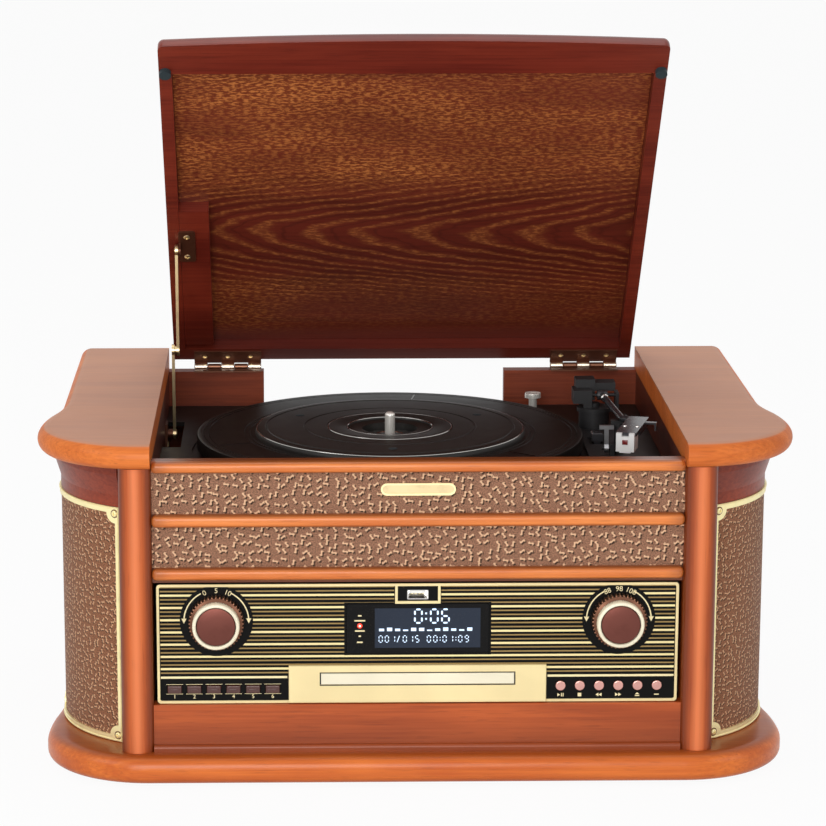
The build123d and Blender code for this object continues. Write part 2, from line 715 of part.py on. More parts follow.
for knob_name, side in (("volume_knob", -1), ("tuning_knob", 1)):
    with BuildPart() as knob:
        skirt_top = knob_skirt_depth + knob_gap
        centre = (side * knob_x, fascia_front, knob_z)
        with BuildSketch(Plane(origin=centre, x_dir=(1, 0, 0), z_dir=(0, 0, -1))):
            with BuildLine():
                Polyline(
                    (0, -knob_shaft_length), (knob_shaft_radius, -knob_shaft_length),
                    (knob_shaft_radius, knob_gap), (knob_skirt_radius, knob_gap),
                    (knob_skirt_radius, skirt_top), (knob_cap_radius, skirt_top + 0.8),
                    (knob_cap_radius - 0.5, knob_depth - 1.0), (knob_cap_radius - 1.6, knob_depth - 0.2),
                    (knob_cap_radius - 2.6, knob_depth - 0.8), (knob_cap_radius * 0.5, knob_depth),
                    (0, knob_depth), close=True)
            make_face()
        revolve(axis=Axis(centre, (0, -1, 0)))
        with BuildSketch(Plane(origin=(side * knob_x, fascia_front - knob_gap, knob_z), x_dir=(1, 0, 0),
                               z_dir=(0, -1, 0))):
            with PolarLocations(knob_skirt_radius + 0.2, knob_grooves):
                Circle(knob_groove)
        extrude(amount=knob_skirt_depth - 1.5, mode=Mode.SUBTRACT)
    save(knob, knob_name)

# Twelve push buttons: rectangular keys on the left, round ones on the right.
for number, x in enumerate(key_xs, start=1):
    with BuildPart() as key_button:
        slab(x - key_width / 2, x + key_width / 2, fascia_front - button_proud,
             fascia_front + button_depth, key_z - key_height / 2, key_z + key_height / 2)
        fillet(key_button.faces().sort_by(Axis.Y)[0].edges(), 0.7)
    save(key_button, f"key_{number}")

for number, x in enumerate(round_xs, start=1):
    with BuildPart() as round_button:
        with Locations((x, fascia_front - button_proud, round_z)):
            Cylinder(round_radius, button_proud + button_depth, rotation=(-90, 0, 0),
                     align=(Align.CENTER, Align.CENTER, Align.MIN))
        fillet(round_button.faces().sort_by(Axis.Y)[0].edges(), 0.7)
    save(round_button, f"round_button_{number}")

# ================================================================ disc drawer and its mechanism
tray_front_y = fascia_front - bezel_proud + 0.2
tray_back_y = fascia_front + tray_length
disc_y = fascia_front + 6 + disc_recess_radius
with BuildPart() as cd_tray:
    slab(-tray_half_width, tray_half_width, tray_front_y, fascia_front + 3.0,
         tray_front_low, tray_front_high)
    slab(-tray_half_width + 1.5, tray_half_width - 1.5, fascia_front + 3.0, tray_back_y,
         tray_plate_low, tray_plate_high)
    with Locations((0, disc_y, tray_plate_high)):
        Cylinder(disc_recess_radius, disc_recess_depth, align=(Align.CENTER, Align.CENTER, Align.MAX),
                 mode=Mode.SUBTRACT)
    with Locations((0, disc_y, tray_plate_high - disc_recess_depth)):
        Cylinder(small_disc_radius, 1.2, align=(Align.CENTER, Align.CENTER, Align.MAX), mode=Mode.SUBTRACT)
    slab(-18, 18, disc_y - 20, tray_back_y + 1, tray_plate_low - 1, tray_plate_high + 1, Mode.SUBTRACT)
save(cd_tray, "cd_tray")

channel_low = tray_plate_low - tray_gap
channel_high = tray_plate_high + 6.0
channel_half = tray_half_width - 1.5 + tray_gap
chassis_back = tray_back_y + 6.0
with BuildPart() as cd_mechanism:
    slab(-channel_half - 5, channel_half + 5, fascia_back + 4, chassis_back,
         plinth_top, channel_low)
    for side in (-1, 1):
        slab(side * channel_half, side * (channel_half + 5), fascia_back + 4, chassis_back,
             channel_low, channel_high)
    slab(-channel_half - 5, channel_half + 5, disc_y - 12, disc_y + 12, channel_high, channel_high + 3)
    slab(-channel_half, channel_half, chassis_back - 4, chassis_back, channel_low, channel_high)
save(cd_mechanism, "cd_mechanism")

# ================================================================ inside the cabinet
transformer_inset = 43.0      # middle of the transformer, inside the well's left wall
transformer_y = 94.0
transformer_foot = (56.0, 48.0, 5.0)
transformer_core = (46.0, 36.0, 38.0)
transformer_coil = (30.0, 48.0, 26.0)
coil_lift = 6.0               # coil above the core's lower edge
with BuildPart() as power_transformer:
    with Locations((transformer_inset - well_half_width, transformer_y, plinth_top)):
        Box(*transformer_foot, align=(Align.CENTER, Align.CENTER, Align.MIN))
        with Locations((0, 0, transformer_foot[2])):
            Box(*transformer_core, align=(Align.CENTER, Align.CENTER, Align.MIN))
        with Locations((0, 0, transformer_foot[2] + coil_lift)):
            Box(*transformer_coil, align=(Align.CENTER, Align.CENTER, Align.MIN))
save(power_transformer, "power_transformer")

board_inset = 50.0            # middle of the board, inside the well's right wall
board_y = -15.0
board_width = 82.0
board_length = 166.0
board_thickness = 1.6
post_radius = 3.0
post_height = 8.0
post_inset = 8.0
chip_size = (34.0, 30.0, 3.4)
heat_sink_size = (18.0, 70.0, 24.4)
can_radius = 6.0
can_height = 22.0
can_pitch = 16.0
board_x = well_half_width - board_inset
parts_z = plinth_top + post_height + board_thickness
with BuildPart() as main_board:
    with Locations((board_x, board_y, plinth_top)):
        with GridLocations(board_width - 2 * post_inset, board_length - 2 * post_inset, 2, 2):
            Cylinder(post_radius, post_height, align=(Align.CENTER, Align.CENTER, Align.MIN))
        with Locations((0, 0, post_height)):
            Box(board_width, board_length, board_thickness, align=(Align.CENTER, Align.CENTER, Align.MIN))
    with Locations((board_x - board_width / 7, board_y - board_length / 4, parts_z)):
        Box(*chip_size, align=(Align.CENTER, Align.CENTER, Align.MIN))
    with Locations((board_x + board_width / 3, board_y + board_length / 6, parts_z)):
        Box(*heat_sink_size, align=(Align.CENTER, Align.CENTER, Align.MIN))
    with Locations((board_x - board_width / 5, board_y + board_length / 7, parts_z)):
        with GridLocations(can_pitch, can_pitch, 2, 2):
            Cylinder(can_radius, can_height, align=(Align.CENTER, Align.CENTER, Align.MIN))
save(main_board, "main_board")

rca_radius = 4.15
rca_hole_radius = 1.6
rca_hole_depth = 7.0
rca_length = 8.0
rca_left_x = -36.0
rca_pitch = 16.0
socket_row_z = 88.0
jack_x = 2.0
jack_radius = 4.2
jack_barrel = 12.0
jack_collar = 3.0
jack_hole_radius = 1.8
jack_hole_depth = 14.0
inlet_x = 40.0
inlet_z = 82.0
inlet_width = 14.4
inlet_height = 8.0
inlet_depth = 9.0
inlet_wall = 2.8
inlet_pin_radius = 1.15
inlet_pin_half_pitch = 4.3
socket_plate_lap = 8.0        # plate behind the board, past the opening's edges
socket_plate_thickness = 3.0
socket_plate_front = board_face - socket_plate_thickness
rca_right_x = rca_left_x + rca_pitch
with BuildPart() as rear_sockets:
    slab(-socket_half_width - socket_plate_lap, socket_half_width + socket_plate_lap,
         socket_plate_front, board_face, socket_low - socket_plate_lap, socket_high + socket_plate_lap)
    with Locations((rca_left_x, board_face, socket_row_z), (rca_right_x, board_face, socket_row_z)):
        Cylinder(rca_radius, rca_length, rotation=(-90, 0, 0), align=(Align.CENTER, Align.CENTER, Align.MIN))
    rca_end = board_face + rca_length
    with Locations((rca_left_x, rca_end, socket_row_z), (rca_right_x, rca_end, socket_row_z)):
        Cylinder(rca_hole_radius, rca_hole_depth, rotation=(90, 0, 0),
                 align=(Align.CENTER, Align.CENTER, Align.MIN), mode=Mode.SUBTRACT)
    with Locations((jack_x, board_face, socket_row_z)):
        Cylinder(jack_radius, jack_barrel, rotation=(90, 0, 0), align=(Align.CENTER, Align.CENTER, Align.MIN))
        Cylinder(jack_radius, jack_collar, rotation=(-90, 0, 0),
                 align=(Align.CENTER, Align.CENTER, Align.MIN))
    with Locations((jack_x, board_face + jack_collar, socket_row_z)):
        Cylinder(jack_hole_radius, jack_hole_depth, rotation=(90, 0, 0),
                 align=(Align.CENTER, Align.CENTER, Align.MIN), mode=Mode.SUBTRACT)
    inlet_half = inlet_width / 2 + inlet_wall
    slab(inlet_x - inlet_half, inlet_x + inlet_half, board_face - inlet_depth - 2, board_face,
         inlet_z - inlet_height / 2 - inlet_wall, inlet_z + inlet_height / 2 + inlet_wall)
    slab(inlet_x - inlet_width / 2, inlet_x + inlet_width / 2, board_face - inlet_depth, board_face,
         inlet_z - inlet_height / 2, inlet_z + inlet_height / 2, Mode.SUBTRACT)
    with Locations((inlet_x - inlet_pin_half_pitch, board_face - inlet_depth, inlet_z),
                   (inlet_x + inlet_pin_half_pitch, board_face - inlet_depth, inlet_z)):
        Cylinder(inlet_pin_radius, inlet_depth - 1, rotation=(-90, 0, 0),
                 align=(Align.CENTER, Align.CENTER, Align.MIN))
save(rear_sockets, "rear_sockets")

# ================================================================ record deck
motor_x = spindle_x + motor_reach * cos(radians(motor_angle))
motor_y = spindle_y + motor_reach * sin(radians(motor_angle))
recess_floor = deck_top - 1.0
spindle_hole_radius = 5.05
speed_slot = 3.4
with BuildPart() as deck_plate:
    slab(-well_half_width + seat_gap, well_half_width - seat_gap, well_front, well_back, deck_low, deck_top)
    with Locations((spindle_x, spindle_y, deck_top)):
        Cylinder(platter_radius + 3.5, deck_top - recess_floor,
                 align=(Align.CENTER, Align.CENTER, Align.MAX), mode=Mode.SUBTRACT)
        Cylinder(spindle_hole_radius, 20, mode=Mode.SUBTRACT)
    with Locations((motor_x, motor_y, deck_top)):
        Cylinder(4.0, 20, mode=Mode.SUBTRACT)
    slab(-well_half_width, stay_slot_width - well_half_width, stay_slot_front, stay_slot_back,
         deck_low - 1, deck_top + 1, Mode.SUBTRACT)
    slab(speed_x - speed_slot, speed_x + speed_slot, speed_y - 9, speed_y + 9,
         deck_low - 1, deck_top + 1, Mode.SUBTRACT)
save(deck_plate, "deck_plate")

with BuildPart() as spindle:
    with Locations((spindle_x, spindle_y, deck_low - 3)):
        Cylinder(8, 3, align=(Align.CENTER, Align.CENTER, Align.MIN))
        Cylinder(spindle_hole_radius - 0.05, 6, align=(Align.CENTER, Align.CENTER, Align.MIN))
    with Locations((spindle_x, spindle_y, recess_floor)):
        Cylinder(7, hub_boss_low - 0.2 - recess_floor, align=(Align.CENTER, Align.CENTER, Align.MIN))
        Cylinder(spindle_shoulder_radius, hub_recess_floor + spindle_shoulder_rise - recess_floor,
                 align=(Align.CENTER, Align.CENTER, Align.MIN))
        Cylinder(spindle_radius, spindle_top - recess_floor, align=(Align.CENTER, Align.CENTER, Align.MIN))
    fillet(spindle.edges().group_by(Axis.Z)[-1], 2.6)
save(spindle, "spindle")

with BuildPart() as platter:
    with BuildSketch(Plane(origin=(spindle_x, spindle_y, 0), x_dir=(1, 0, 0), z_dir=(0, -1, 0))):
        with BuildLine():
            bore = spindle_shoulder_radius + shaft_clearance
            plateau_low = plateau_top - platter_web
            rim_low = platter_rim_top - platter_web
            Polyline(
                (bore, hub_boss_low), (hub_boss_radius, hub_boss_low),
                (hub_boss_radius, hub_recess_floor - platter_web),
                (hub_recess_radius + 3, hub_recess_floor - platter_web),
                (hub_recess_radius + 3, plateau_low), (drum_radius - drum_wall, plateau_low),
                (drum_radius - drum_wall, drum_low), (drum_radius, drum_low), (drum_radius, plateau_low),
                (plateau_radius - 3, plateau_low), (plateau_radius - 3, rim_low),
                (platter_radius - platter_skirt, rim_low),
                (platter_radius - platter_skirt, platter_skirt_low),
                (platter_radius, platter_skirt_low), (platter_radius, platter_rim_top - 0.8),
                (platter_radius - 0.8, platter_rim_top), (plateau_radius + 1.5, platter_rim_top),
                (plateau_radius, plateau_top), (hub_ring_radius, plateau_top),
                (hub_ring_radius, plateau_top - 0.6), (hub_ring_radius - 1.2, plateau_top - 0.6),
                (hub_ring_radius - 1.2, plateau_top), (hub_recess_radius, plateau_top),
                (hub_recess_radius, hub_recess_floor), (bore, hub_recess_floor), close=True)
        make_face()
    revolve(axis=Axis((spindle_x, spindle_y, 0), (0, 0, 1)))
    with Locations((spindle_x, spindle_y, plateau_top)):
        with PolarLocations(pad_circle, 3, start_angle=pad_angle):
            Cylinder(pad_radius, pad_height, align=(Align.CENTER, Align.CENTER, Align.MIN))
save(platter, "platter")

with BuildPart() as drive_motor:
    with Locations((motor_x, motor_y, deck_low)):
        Cylinder(motor_radius, motor_height, align=(Align.CENTER, Align.CENTER, Align.MAX))
    with Locations((motor_x, motor_y, deck_low - 1)):
        Cylinder(motor_shaft_radius, pulley_low + pulley_height - 0.2 - deck_low + 1,
                 align=(Align.CENTER, Align.CENTER, Align.MIN))
save(drive_motor, "drive_motor")

with BuildPart() as motor_pulley:
    with BuildSketch(Plane(origin=(motor_x, motor_y, pulley_low), x_dir=(1, 0, 0), z_dir=(0, -1, 0))):
        with BuildLine():
            bore = motor_shaft_radius + shaft_clearance
            Polyline(
                (bore, 0), (pulley_radius + 0.6, 0), (pulley_radius, 0.5),
                (pulley_radius, pulley_height - 0.5), (pulley_radius + 0.6, pulley_height),
                (bore, pulley_height), close=True)
        make_face()
    revolve(axis=Axis((motor_x, motor_y, 0), (0, 0, 1)))
save(motor_pulley, "motor_pulley")

belt_step = belt_gap + belt_thickness
with BuildPart() as drive_belt:
    with BuildSketch(Plane.XY.offset(belt_low)):
        with Locations((spindle_x, spindle_y)):
            Circle(drum_radius + belt_step)
        with Locations((motor_x, motor_y)):
            Circle(pulley_radius + belt_step)
        make_hull()
    extrude(amount=belt_width)
    with BuildSketch(Plane.XY.offset(belt_low)):
        with Locations((spindle_x, spindle_y)):
            Circle(drum_radius + belt_gap)
        with Locations((motor_x, motor_y)):
            Circle(pulley_radius + belt_gap)
        make_hull()
    extrude(amount=belt_width, mode=Mode.SUBTRACT)
save(drive_belt, "drive_belt")

with BuildPart() as transit_screw:
    with Locations((transit_x, transit_y, deck_top)):
        Cylinder(3.0, transit_top - 3.6 - deck_top, align=(Align.CENTER, Align.CENTER, Align.MIN))
        Cylinder(5.0, 2.0, align=(Align.CENTER, Align.CENTER, Align.MIN))
    with Locations((transit_x, transit_y, transit_top)):
        Cylinder(6.0, 3.6, align=(Align.CENTER, Align.CENTER, Align.MAX))
    fillet(transit_screw.edges().group_by(Axis.Z)[-1], 0.8)
    slab(transit_x - 7, transit_x + 7, transit_y - 0.8, transit_y + 0.8, transit_top - 1.5, transit_top + 1,
         Mode.SUBTRACT)
save(transit_screw, "transit_screw")

# ================================================================ tonearm
base_thickness = 1.2
base_left = 12.0              # edges of the base plate around the turret's axis
base_right = 16.0
base_back = 13.0
base_front = 8.0              # its front edge, before the cue lever
speed_hole_half = 6.0
base_top = deck_top + base_thickness
with BuildPart() as tonearm_base:
    slab(turret_x - base_left, turret_x + base_right, cue_y - base_front, turret_y + base_back,
         deck_top, base_top)
    slab(speed_x - speed_hole_half, speed_x + speed_hole_half, speed_y - 2 * speed_hole_half,
         speed_y + 2 * speed_hole_half, deck_top - 1, base_top + 1, Mode.SUBTRACT)
    with Locations((turret_x, turret_y, deck_top)):
        Cylinder(column_radius, column_top - deck_top, align=(Align.CENTER, Align.CENTER, Align.MIN))
        Cylinder(turret_pin_radius, column_top + turret_pin_height - deck_top,
                 align=(Align.CENTER, Align.CENTER, Align.MIN))
    with Locations((rest_x, rest_y, deck_top)):
        Cylinder(rest_radius, rest_top - 2 - deck_top, align=(Align.CENTER, Align.CENTER, Align.MIN))
    rest_end = rest_x + rest_width / 2
    rest_low = rest_top - rest_height
    slab(rest_end - rest_width, rest_end - clip_thickness - clip_gap, rest_y - rest_half_depth,
         rest_y + rest_half_depth, rest_low, rest_top)
    slab(rest_end - clip_thickness, rest_end, rest_y - rest_half_depth, rest_y + rest_half_depth,
         rest_low, rest_top + clip_rise)
    slab(cue_x + 2.4, cue_x + 5.4, cue_y - 4, cue_y + 4, deck_top, cue_pivot_z + 3.5)
    with Locations((cue_x + 3, cue_y, cue_pivot_z)):
        Cylinder(1.5, 6.2, rotation=(0, -90, 0), align=(Align.CENTER, Align.CENTER, Align.MIN))
save(tonearm_base, "tonearm_base")

with BuildPart() as cue_lever:
    with Locations((cue_x, cue_y, cue_pivot_z)):
        Cylinder(3.2, 3.0, rotation=(0, 90, 0))
    slab(cue_x - 1.5, cue_x + 1.5, cue_y - 1.3, cue_y + 1.3, cue_pivot_z, cue_high)
    slab(cue_x - 5.0, cue_x + 5.0, cue_y - 1.3, cue_y + 1.3, cue_low, cue_high)
    with Locations((cue_x, cue_y, cue_pivot_z)):
        Cylinder(1.5 + shaft_clearance, 3.4, rotation=(0, 90, 0), mode=Mode.SUBTRACT)
save(cue_lever, "cue_lever")

flange_low = column_top + flange_gap
flange_top = flange_low + flange_thickness
with BuildPart() as tonearm_turret:
    with Locations((turret_x, turret_y, flange_low)):
        Cylinder(flange_radius, flange_thickness, align=(Align.CENTER, Align.CENTER, Align.MIN))
    slab(turret_x, turret_x + 17.5, turret_y - 5, turret_y + 7, flange_low, flange_low + 2.5)
    slab(turret_x - 8, turret_x - 2, turret_y - 7, turret_y + 11, flange_top, record_clear_z)
    slab(turret_x - 15.5, turret_x - 2, turret_y - 7, turret_y + 11, record_clear_z, ball_z + 4.5)
    slab(turret_x - 13, turret_x + 1, turret_y + 5, turret_y + 19, record_clear_z, ball_z + 10.4)
    slab(turret_x - 2, turret_x + 16, turret_y + 7, turret_y + 21, ball_z + 1.5, ball_z + 7.5)
    slab(turret_x + 15, turret_x + 17.5, turret_y - 5, turret_y + 7, flange_low, ball_z + 2.5)
    with Locations((turret_x - 3, turret_y, ball_z)):
        Cylinder(pivot_pin_radius, 19, rotation=(0, 90, 0), align=(Align.CENTER, Align.CENTER, Align.MIN))
    with Locations((turret_x, turret_y, flange_low)):
        Cylinder(turret_pin_radius + shaft_clearance, turret_pin_height,
                 align=(Align.CENTER, Align.CENTER, Align.MIN), mode=Mode.SUBTRACT)
save(tonearm_turret, "tonearm_turret")

# The arm: ball, tube with one bend, headshell with a finger lift.
ball_spot = Vector(ball_x, turret_y, ball_z)
bend_spot = Vector(tube_bend_x, tube_bend_y, tube_bend_z)
shell_spot = Vector(shell_rear_x, shell_rear_y, shell_top - shell_thickness - 0.5)
shell_turn = degrees(atan2(shell_front_x - shell_rear_x, shell_rear_y - shell_front_y))
shell_length = hypot(shell_front_x - shell_rear_x, shell_front_y - shell_rear_y)
shell_plane = Plane(
    origin=(shell_rear_x, shell_rear_y, shell_top),
    x_dir=(cos(radians(shell_turn)), sin(radians(shell_turn)), 0), z_dir=(0, 0, 1))
with BuildPart() as tonearm:
    with BuildLine() as tube_path:
        FilletPolyline(ball_spot, bend_spot, shell_spot, radius=9)
    with BuildSketch(Plane(origin=ball_spot, z_dir=bend_spot - ball_spot)):
        Circle(tube_radius)
    sweep(path=tube_path.line)
    with Locations(ball_spot):
        Cylinder(ball_radius, 2 * ball_radius, rotation=(0, 90, 0))
        Cylinder(pivot_pin_radius + shaft_clearance, 12, rotation=(0, 90, 0), mode=Mode.SUBTRACT)
    with BuildSketch(shell_plane):
        with Locations((0, -shell_length / 2)):
            Rectangle(shell_width, shell_length)
    extrude(amount=-shell_thickness)
    with BuildSketch(shell_plane.offset(-shell_thickness)):
        for side in (-1, 1):
            with Locations((side * (shell_width / 2 - 0.6), -shell_length * 0.34)):
                Rectangle(1.2, shell_length * 0.68)
    extrude(amount=-3.0)
    with BuildSketch(shell_plane.offset(-0.2)):
        with Locations((shell_width / 2 + 3.6, -15)):
            Rectangle(8.4, 4)
    extrude(amount=-1.2)
    with BuildSketch(shell_plane.offset(-0.2)):
        with Locations((shell_width / 2 + 7.2, -15)):
            Rectangle(1.2, 4)
    extrude(amount=-5.6)
save(tonearm, "tonearm")

# The pick-up cartridge sits under the front of the headshell and closes its end.
cartridge_top = shell_plane.offset(-shell_thickness)
body_height = shell_top - shell_thickness - cartridge_low
with BuildPart() as cartridge:
    with BuildSketch(cartridge_top):
        with Locations((0, -shell_length - 3.6)):
            Rectangle(cartridge_width, cartridge_length, align=(Align.CENTER, Align.MIN))
    extrude(amount=-body_height)
    with BuildSketch(cartridge_top):
        with Locations((0, -shell_length - 3.6)):
            Rectangle(cartridge_width, 3.5, align=(Align.CENTER, Align.MIN))
        with Locations((0, -shell_length - 3.6)):
            Rectangle(5.0, 5.0, align=(Align.CENTER, Align.MIN), mode=Mode.SUBTRACT)
    extrude(amount=shell_thickness)
    with BuildSketch(cartridge_top.offset(-body_height)):
        with Locations((0, -shell_length - 3.6)):
            Rectangle(7.6, 9, align=(Align.CENTER, Align.MIN))
    extrude(amount=-0.7)
    with BuildSketch(cartridge_top.offset(-body_height)):
        with Locations((0, -shell_length + 2)):
            Circle(0.5)
    extrude(amount=-(cartridge_low - plateau_top - stylus_clear), taper=12)
save(cartridge, "cartridge")

with BuildPart() as speed_selector:
    slab(speed_x - 4, speed_x + 4, speed_y - 5, speed_y + 5, base_top + 0.2, base_top + 6.2)
    chamfer(speed_selector.edges().group_by(Axis.Z)[-1], 0.8)
    slab(speed_x - 2.5, speed_x + 2.5, speed_y - 2.5, speed_y + 2.5, deck_low - 2.2, base_top + 0.2)
    slab(speed_x - 5, speed_x + 5, speed_y - 4, speed_y + 4, deck_low - 2.2, deck_low - 0.2)
save(speed_selector, "speed_selector")

# ================================================================ lid
# Sizes here are those of the shut lid, measured from the hinge pin: x to the right, y to the
# back and z up. The plane carries them to the standing lid.
a = radians(open_angle)
lid_plane = Plane(origin=(0, pin_y, pin_z), x_dir=(1, 0, 0), z_dir=(0, sin(a), cos(a)))
lid_rear = -lid_rear_gap
lid_front = lid_rear - lid_length
lid_under = lid_above_pin
recess_top = lid_under + lid_recess + lid_panel_thickness
recess_half = lid_half_width - lid_side_rail
recess_rear = lid_rear - lid_rear_rail
recess_front = lid_front + lid_front_rail
with BuildPart(lid_plane) as lid_shell:
    with BuildSketch(lid_plane.offset(lid_under)):
        with BuildLine():
            Polyline((-lid_half_width, lid_front), (-lid_half_width, lid_rear),
                     (lid_half_width, lid_rear), (lid_half_width, lid_front))
            ThreePointArc((lid_half_width, lid_front), (0, lid_front - lid_bow),
                          (-lid_half_width, lid_front))
        make_face()
    extrude(amount=lid_thickness)
    top_rims = lid_shell.faces().sort_by(Axis(lid_plane.origin, lid_plane.z_dir))[-1].edges()
    fillet(top_rims.filter_by(GeomType.CIRCLE), lid_front_round)
    lid_up = Axis(lid_plane.origin, lid_plane.z_dir)
    top_face = lid_shell.faces().filter_by(GeomType.PLANE).sort_by(lid_up)[-1]
    front_edge = top_face.edges().sort_by(Axis.Z)[-1]
    fillet(top_face.edges().filter_by(lambda e: e.center().Z < front_edge.center().Z - 1), lid_side_round)
    slab(-recess_half, recess_half, recess_front, recess_rear, lid_under - 1, recess_top, Mode.SUBTRACT)
save(lid_shell, "lid_shell")

with BuildPart(lid_plane) as lid_panel:
    slab(-recess_half + seat_gap, recess_half - seat_gap, recess_front + seat_gap, recess_rear - seat_gap,
         recess_top - lid_panel_thickness, recess_top)
save(lid_panel, "lid_panel")

with BuildPart(lid_plane) as lid_bumpers:
    for side in (-1, 1):
        with Locations((side * (recess_half + 0.5 * lid_side_rail), recess_front - 2, lid_under)):
            Cylinder(bumper_radius, bumper_height, align=(Align.CENTER, Align.CENTER, Align.MAX))
save(lid_bumpers, "lid_bumpers")

block_left = -recess_half + seat_gap
block_right = block_left + stay_block_width
with BuildPart(lid_plane) as stay_block:
    slab(block_left, block_right, lid_rear - stay_block_end, lid_rear - stay_block_start,
         lid_under, recess_top - lid_panel_thickness)
save(stay_block, "stay_block")

# Two butt hinges: knuckles 2 and 4 and the pin stay with the deck leaf, 1, 3 and 5 turn.
with BuildPart() as deck_hinge_leaves:
    for left in (hinge_left_x, hinge_right_x):
        right = left + hinge_length
        slab(left, right, pin_y - knuckle_radius - 0.3 - leaf_depth, pin_y - knuckle_radius - 0.3,
             hinge_board_top, hinge_board_top + leaf_thickness)
        for number in (1, 3):
            low = left + number * knuckle_length + knuckle_gap / 2
            high = left + (number + 1) * knuckle_length - knuckle_gap / 2
            slab(low, high, pin_y - knuckle_radius - 0.5, pin_y, hinge_board_top + knuckle_seat,
                 hinge_board_top + leaf_thickness)
            with Locations((low, pin_y, pin_z)):
                Cylinder(knuckle_radius, high - low, rotation=(0, 90, 0),
                         align=(Align.CENTER, Align.CENTER, Align.MIN))
        with Locations((left, pin_y, pin_z)):
            Cylinder(hinge_pin_radius, right - left, rotation=(0, 90, 0),
                     align=(Align.CENTER, Align.CENTER, Align.MIN))
save(deck_hinge_leaves, "deck_hinge_leaves")

with BuildPart(lid_plane) as lid_hinge_leaves:
    for left in (hinge_left_x, hinge_right_x):
        right = left + hinge_length
        slab(left, right, lid_rear - lid_leaf_depth, 0, lid_under - leaf_thickness, lid_under)
        for number in (0, 2, 4):
            low = left + number * knuckle_length + knuckle_gap / 2
            high = left + (number + 1) * knuckle_length - knuckle_gap / 2
            slab(low, high, -1.2, 0, 0, lid_under)
            with Locations((low, 0, 0)):
                Cylinder(knuckle_radius, high - low, rotation=(0, 90, 0),
                         align=(Align.CENTER, Align.CENTER, Align.MIN))
        with Locations((left - 1, 0, 0)):
            Cylinder(hinge_pin_radius + shaft_clearance, right - left + 2, rotation=(0, 90, 0),
                     align=(Align.CENTER, Align.CENTER, Align.MIN), mode=Mode.SUBTRACT)
save(lid_hinge_leaves, "lid_hinge_leaves")

# ================================================================ stay
# A straight two-arm stay props the lid. Its middle joint lies on the line between the two pins.
stay_y = lid_rear - stay_top_reach
stay_z = lid_under - stay_top_drop
stay_top_y = pin_y + stay_y * cos(a) + stay_z * sin(a)
stay_top_z = pin_z - stay_y * sin(a) + stay_z * cos(a)
elbow_y = stay_top_y + stay_share * (stay_foot_y - stay_top_y)
elbow_z = stay_top_z + stay_share * (stay_foot_z - stay_top_z)
bracket_outer = block_left - 1.2
stay_upper_x = bracket_outer - stay_upper_gap
stay_lower_x = stay_upper_x - stay_arm_pitch
pin_reach = 3.4
with BuildPart(lid_plane) as stay_lid_bracket:
    with BuildSketch(lid_plane.offset(lid_under)):
        with Locations((bracket_outer + bracket_width / 2, lid_rear - (bracket_low + bracket_high) / 2)):
            RectangleRounded(bracket_width, bracket_high - bracket_low, 2.0)
    extrude(amount=-bracket_thickness)
    slab(bracket_outer, bracket_outer + 1.4, stay_y - stay_eye_radius, stay_y + stay_eye_radius,
         stay_z - 2.0, lid_under - 0.5)
    with Locations((bracket_outer, stay_y, stay_z)):
        Cylinder(stay_eye_radius, 1.4, rotation=(0, 90, 0), align=(Align.CENTER, Align.CENTER, Align.MIN))
        Cylinder(stay_pin_radius, pin_reach, rotation=(0, -90, 0),
                 align=(Align.CENTER, Align.CENTER, Align.MIN))
save(stay_lid_bracket, "stay_lid_bracket")

stay_faces = {"stay_upper_arm": stay_upper_x, "stay_lower_arm": stay_lower_x}
stay_ends = {
    "stay_upper_arm": ((stay_top_y, stay_top_z), (elbow_y, elbow_z)),
    "stay_lower_arm": ((stay_foot_y, stay_foot_z), (elbow_y, elbow_z)),
}
for arm_name, arm_x in stay_faces.items():
    pivot, tip = stay_ends[arm_name]
    reach = hypot(tip[0] - pivot[0], tip[1] - pivot[1])
    slope = degrees(atan2(tip[1] - pivot[1], tip[0] - pivot[0]))
    with BuildPart() as stay_arm:
        with BuildSketch(Plane.YZ.offset(arm_x - stay_arm_thickness / 2)):
            with Locations(((pivot[0] + tip[0]) / 2, (pivot[1] + tip[1]) / 2)):
                SlotCenterToCenter(reach, stay_arm_width, rotation=slope)
            with Locations(pivot, tip):
                Circle(stay_eye_radius)
            with Locations(pivot):
                Circle(stay_pin_radius + stay_bore_clearance, mode=Mode.SUBTRACT)
        extrude(amount=stay_arm_thickness)
        if arm_name == "stay_upper_arm":
            with Locations((arm_x - stay_arm_thickness / 2, tip[0], tip[1])):
                Cylinder(3.0, 1.3, rotation=(0, -90, 0), align=(Align.CENTER, Align.CENTER, Align.MIN))
    save(stay_arm, arm_name)

with BuildPart() as stay_body_bracket:
    slab(-well_half_width, -well_half_width + 1.6, stay_foot_y - 8, stay_foot_y + 8,
         stay_foot_z - 14, stay_foot_z + 8)
    with Locations((-well_half_width + 1.6, stay_foot_y, stay_foot_z)):
        Cylinder(3.4, stay_lower_x - stay_arm_thickness / 2 - 0.3 + well_half_width - 1.6,
                 rotation=(0, 90, 0), align=(Align.CENTER, Align.CENTER, Align.MIN))
        Cylinder(stay_pin_radius, stay_lower_x + 2.0 + well_half_width - 1.6, rotation=(0, 90, 0),
                 align=(Align.CENTER, Align.CENTER, Align.MIN))
save(stay_body_bracket, "stay_body_bracket")
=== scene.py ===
"""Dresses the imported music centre: finishes, fine pieces, floor, light and camera."""

from __future__ import annotations

import logging
import math
from dataclasses import dataclass, field
from enum import Enum
from functools import cache
from typing import Callable, Sequence, Union

import bpy
from mathutils import Matrix, Vector

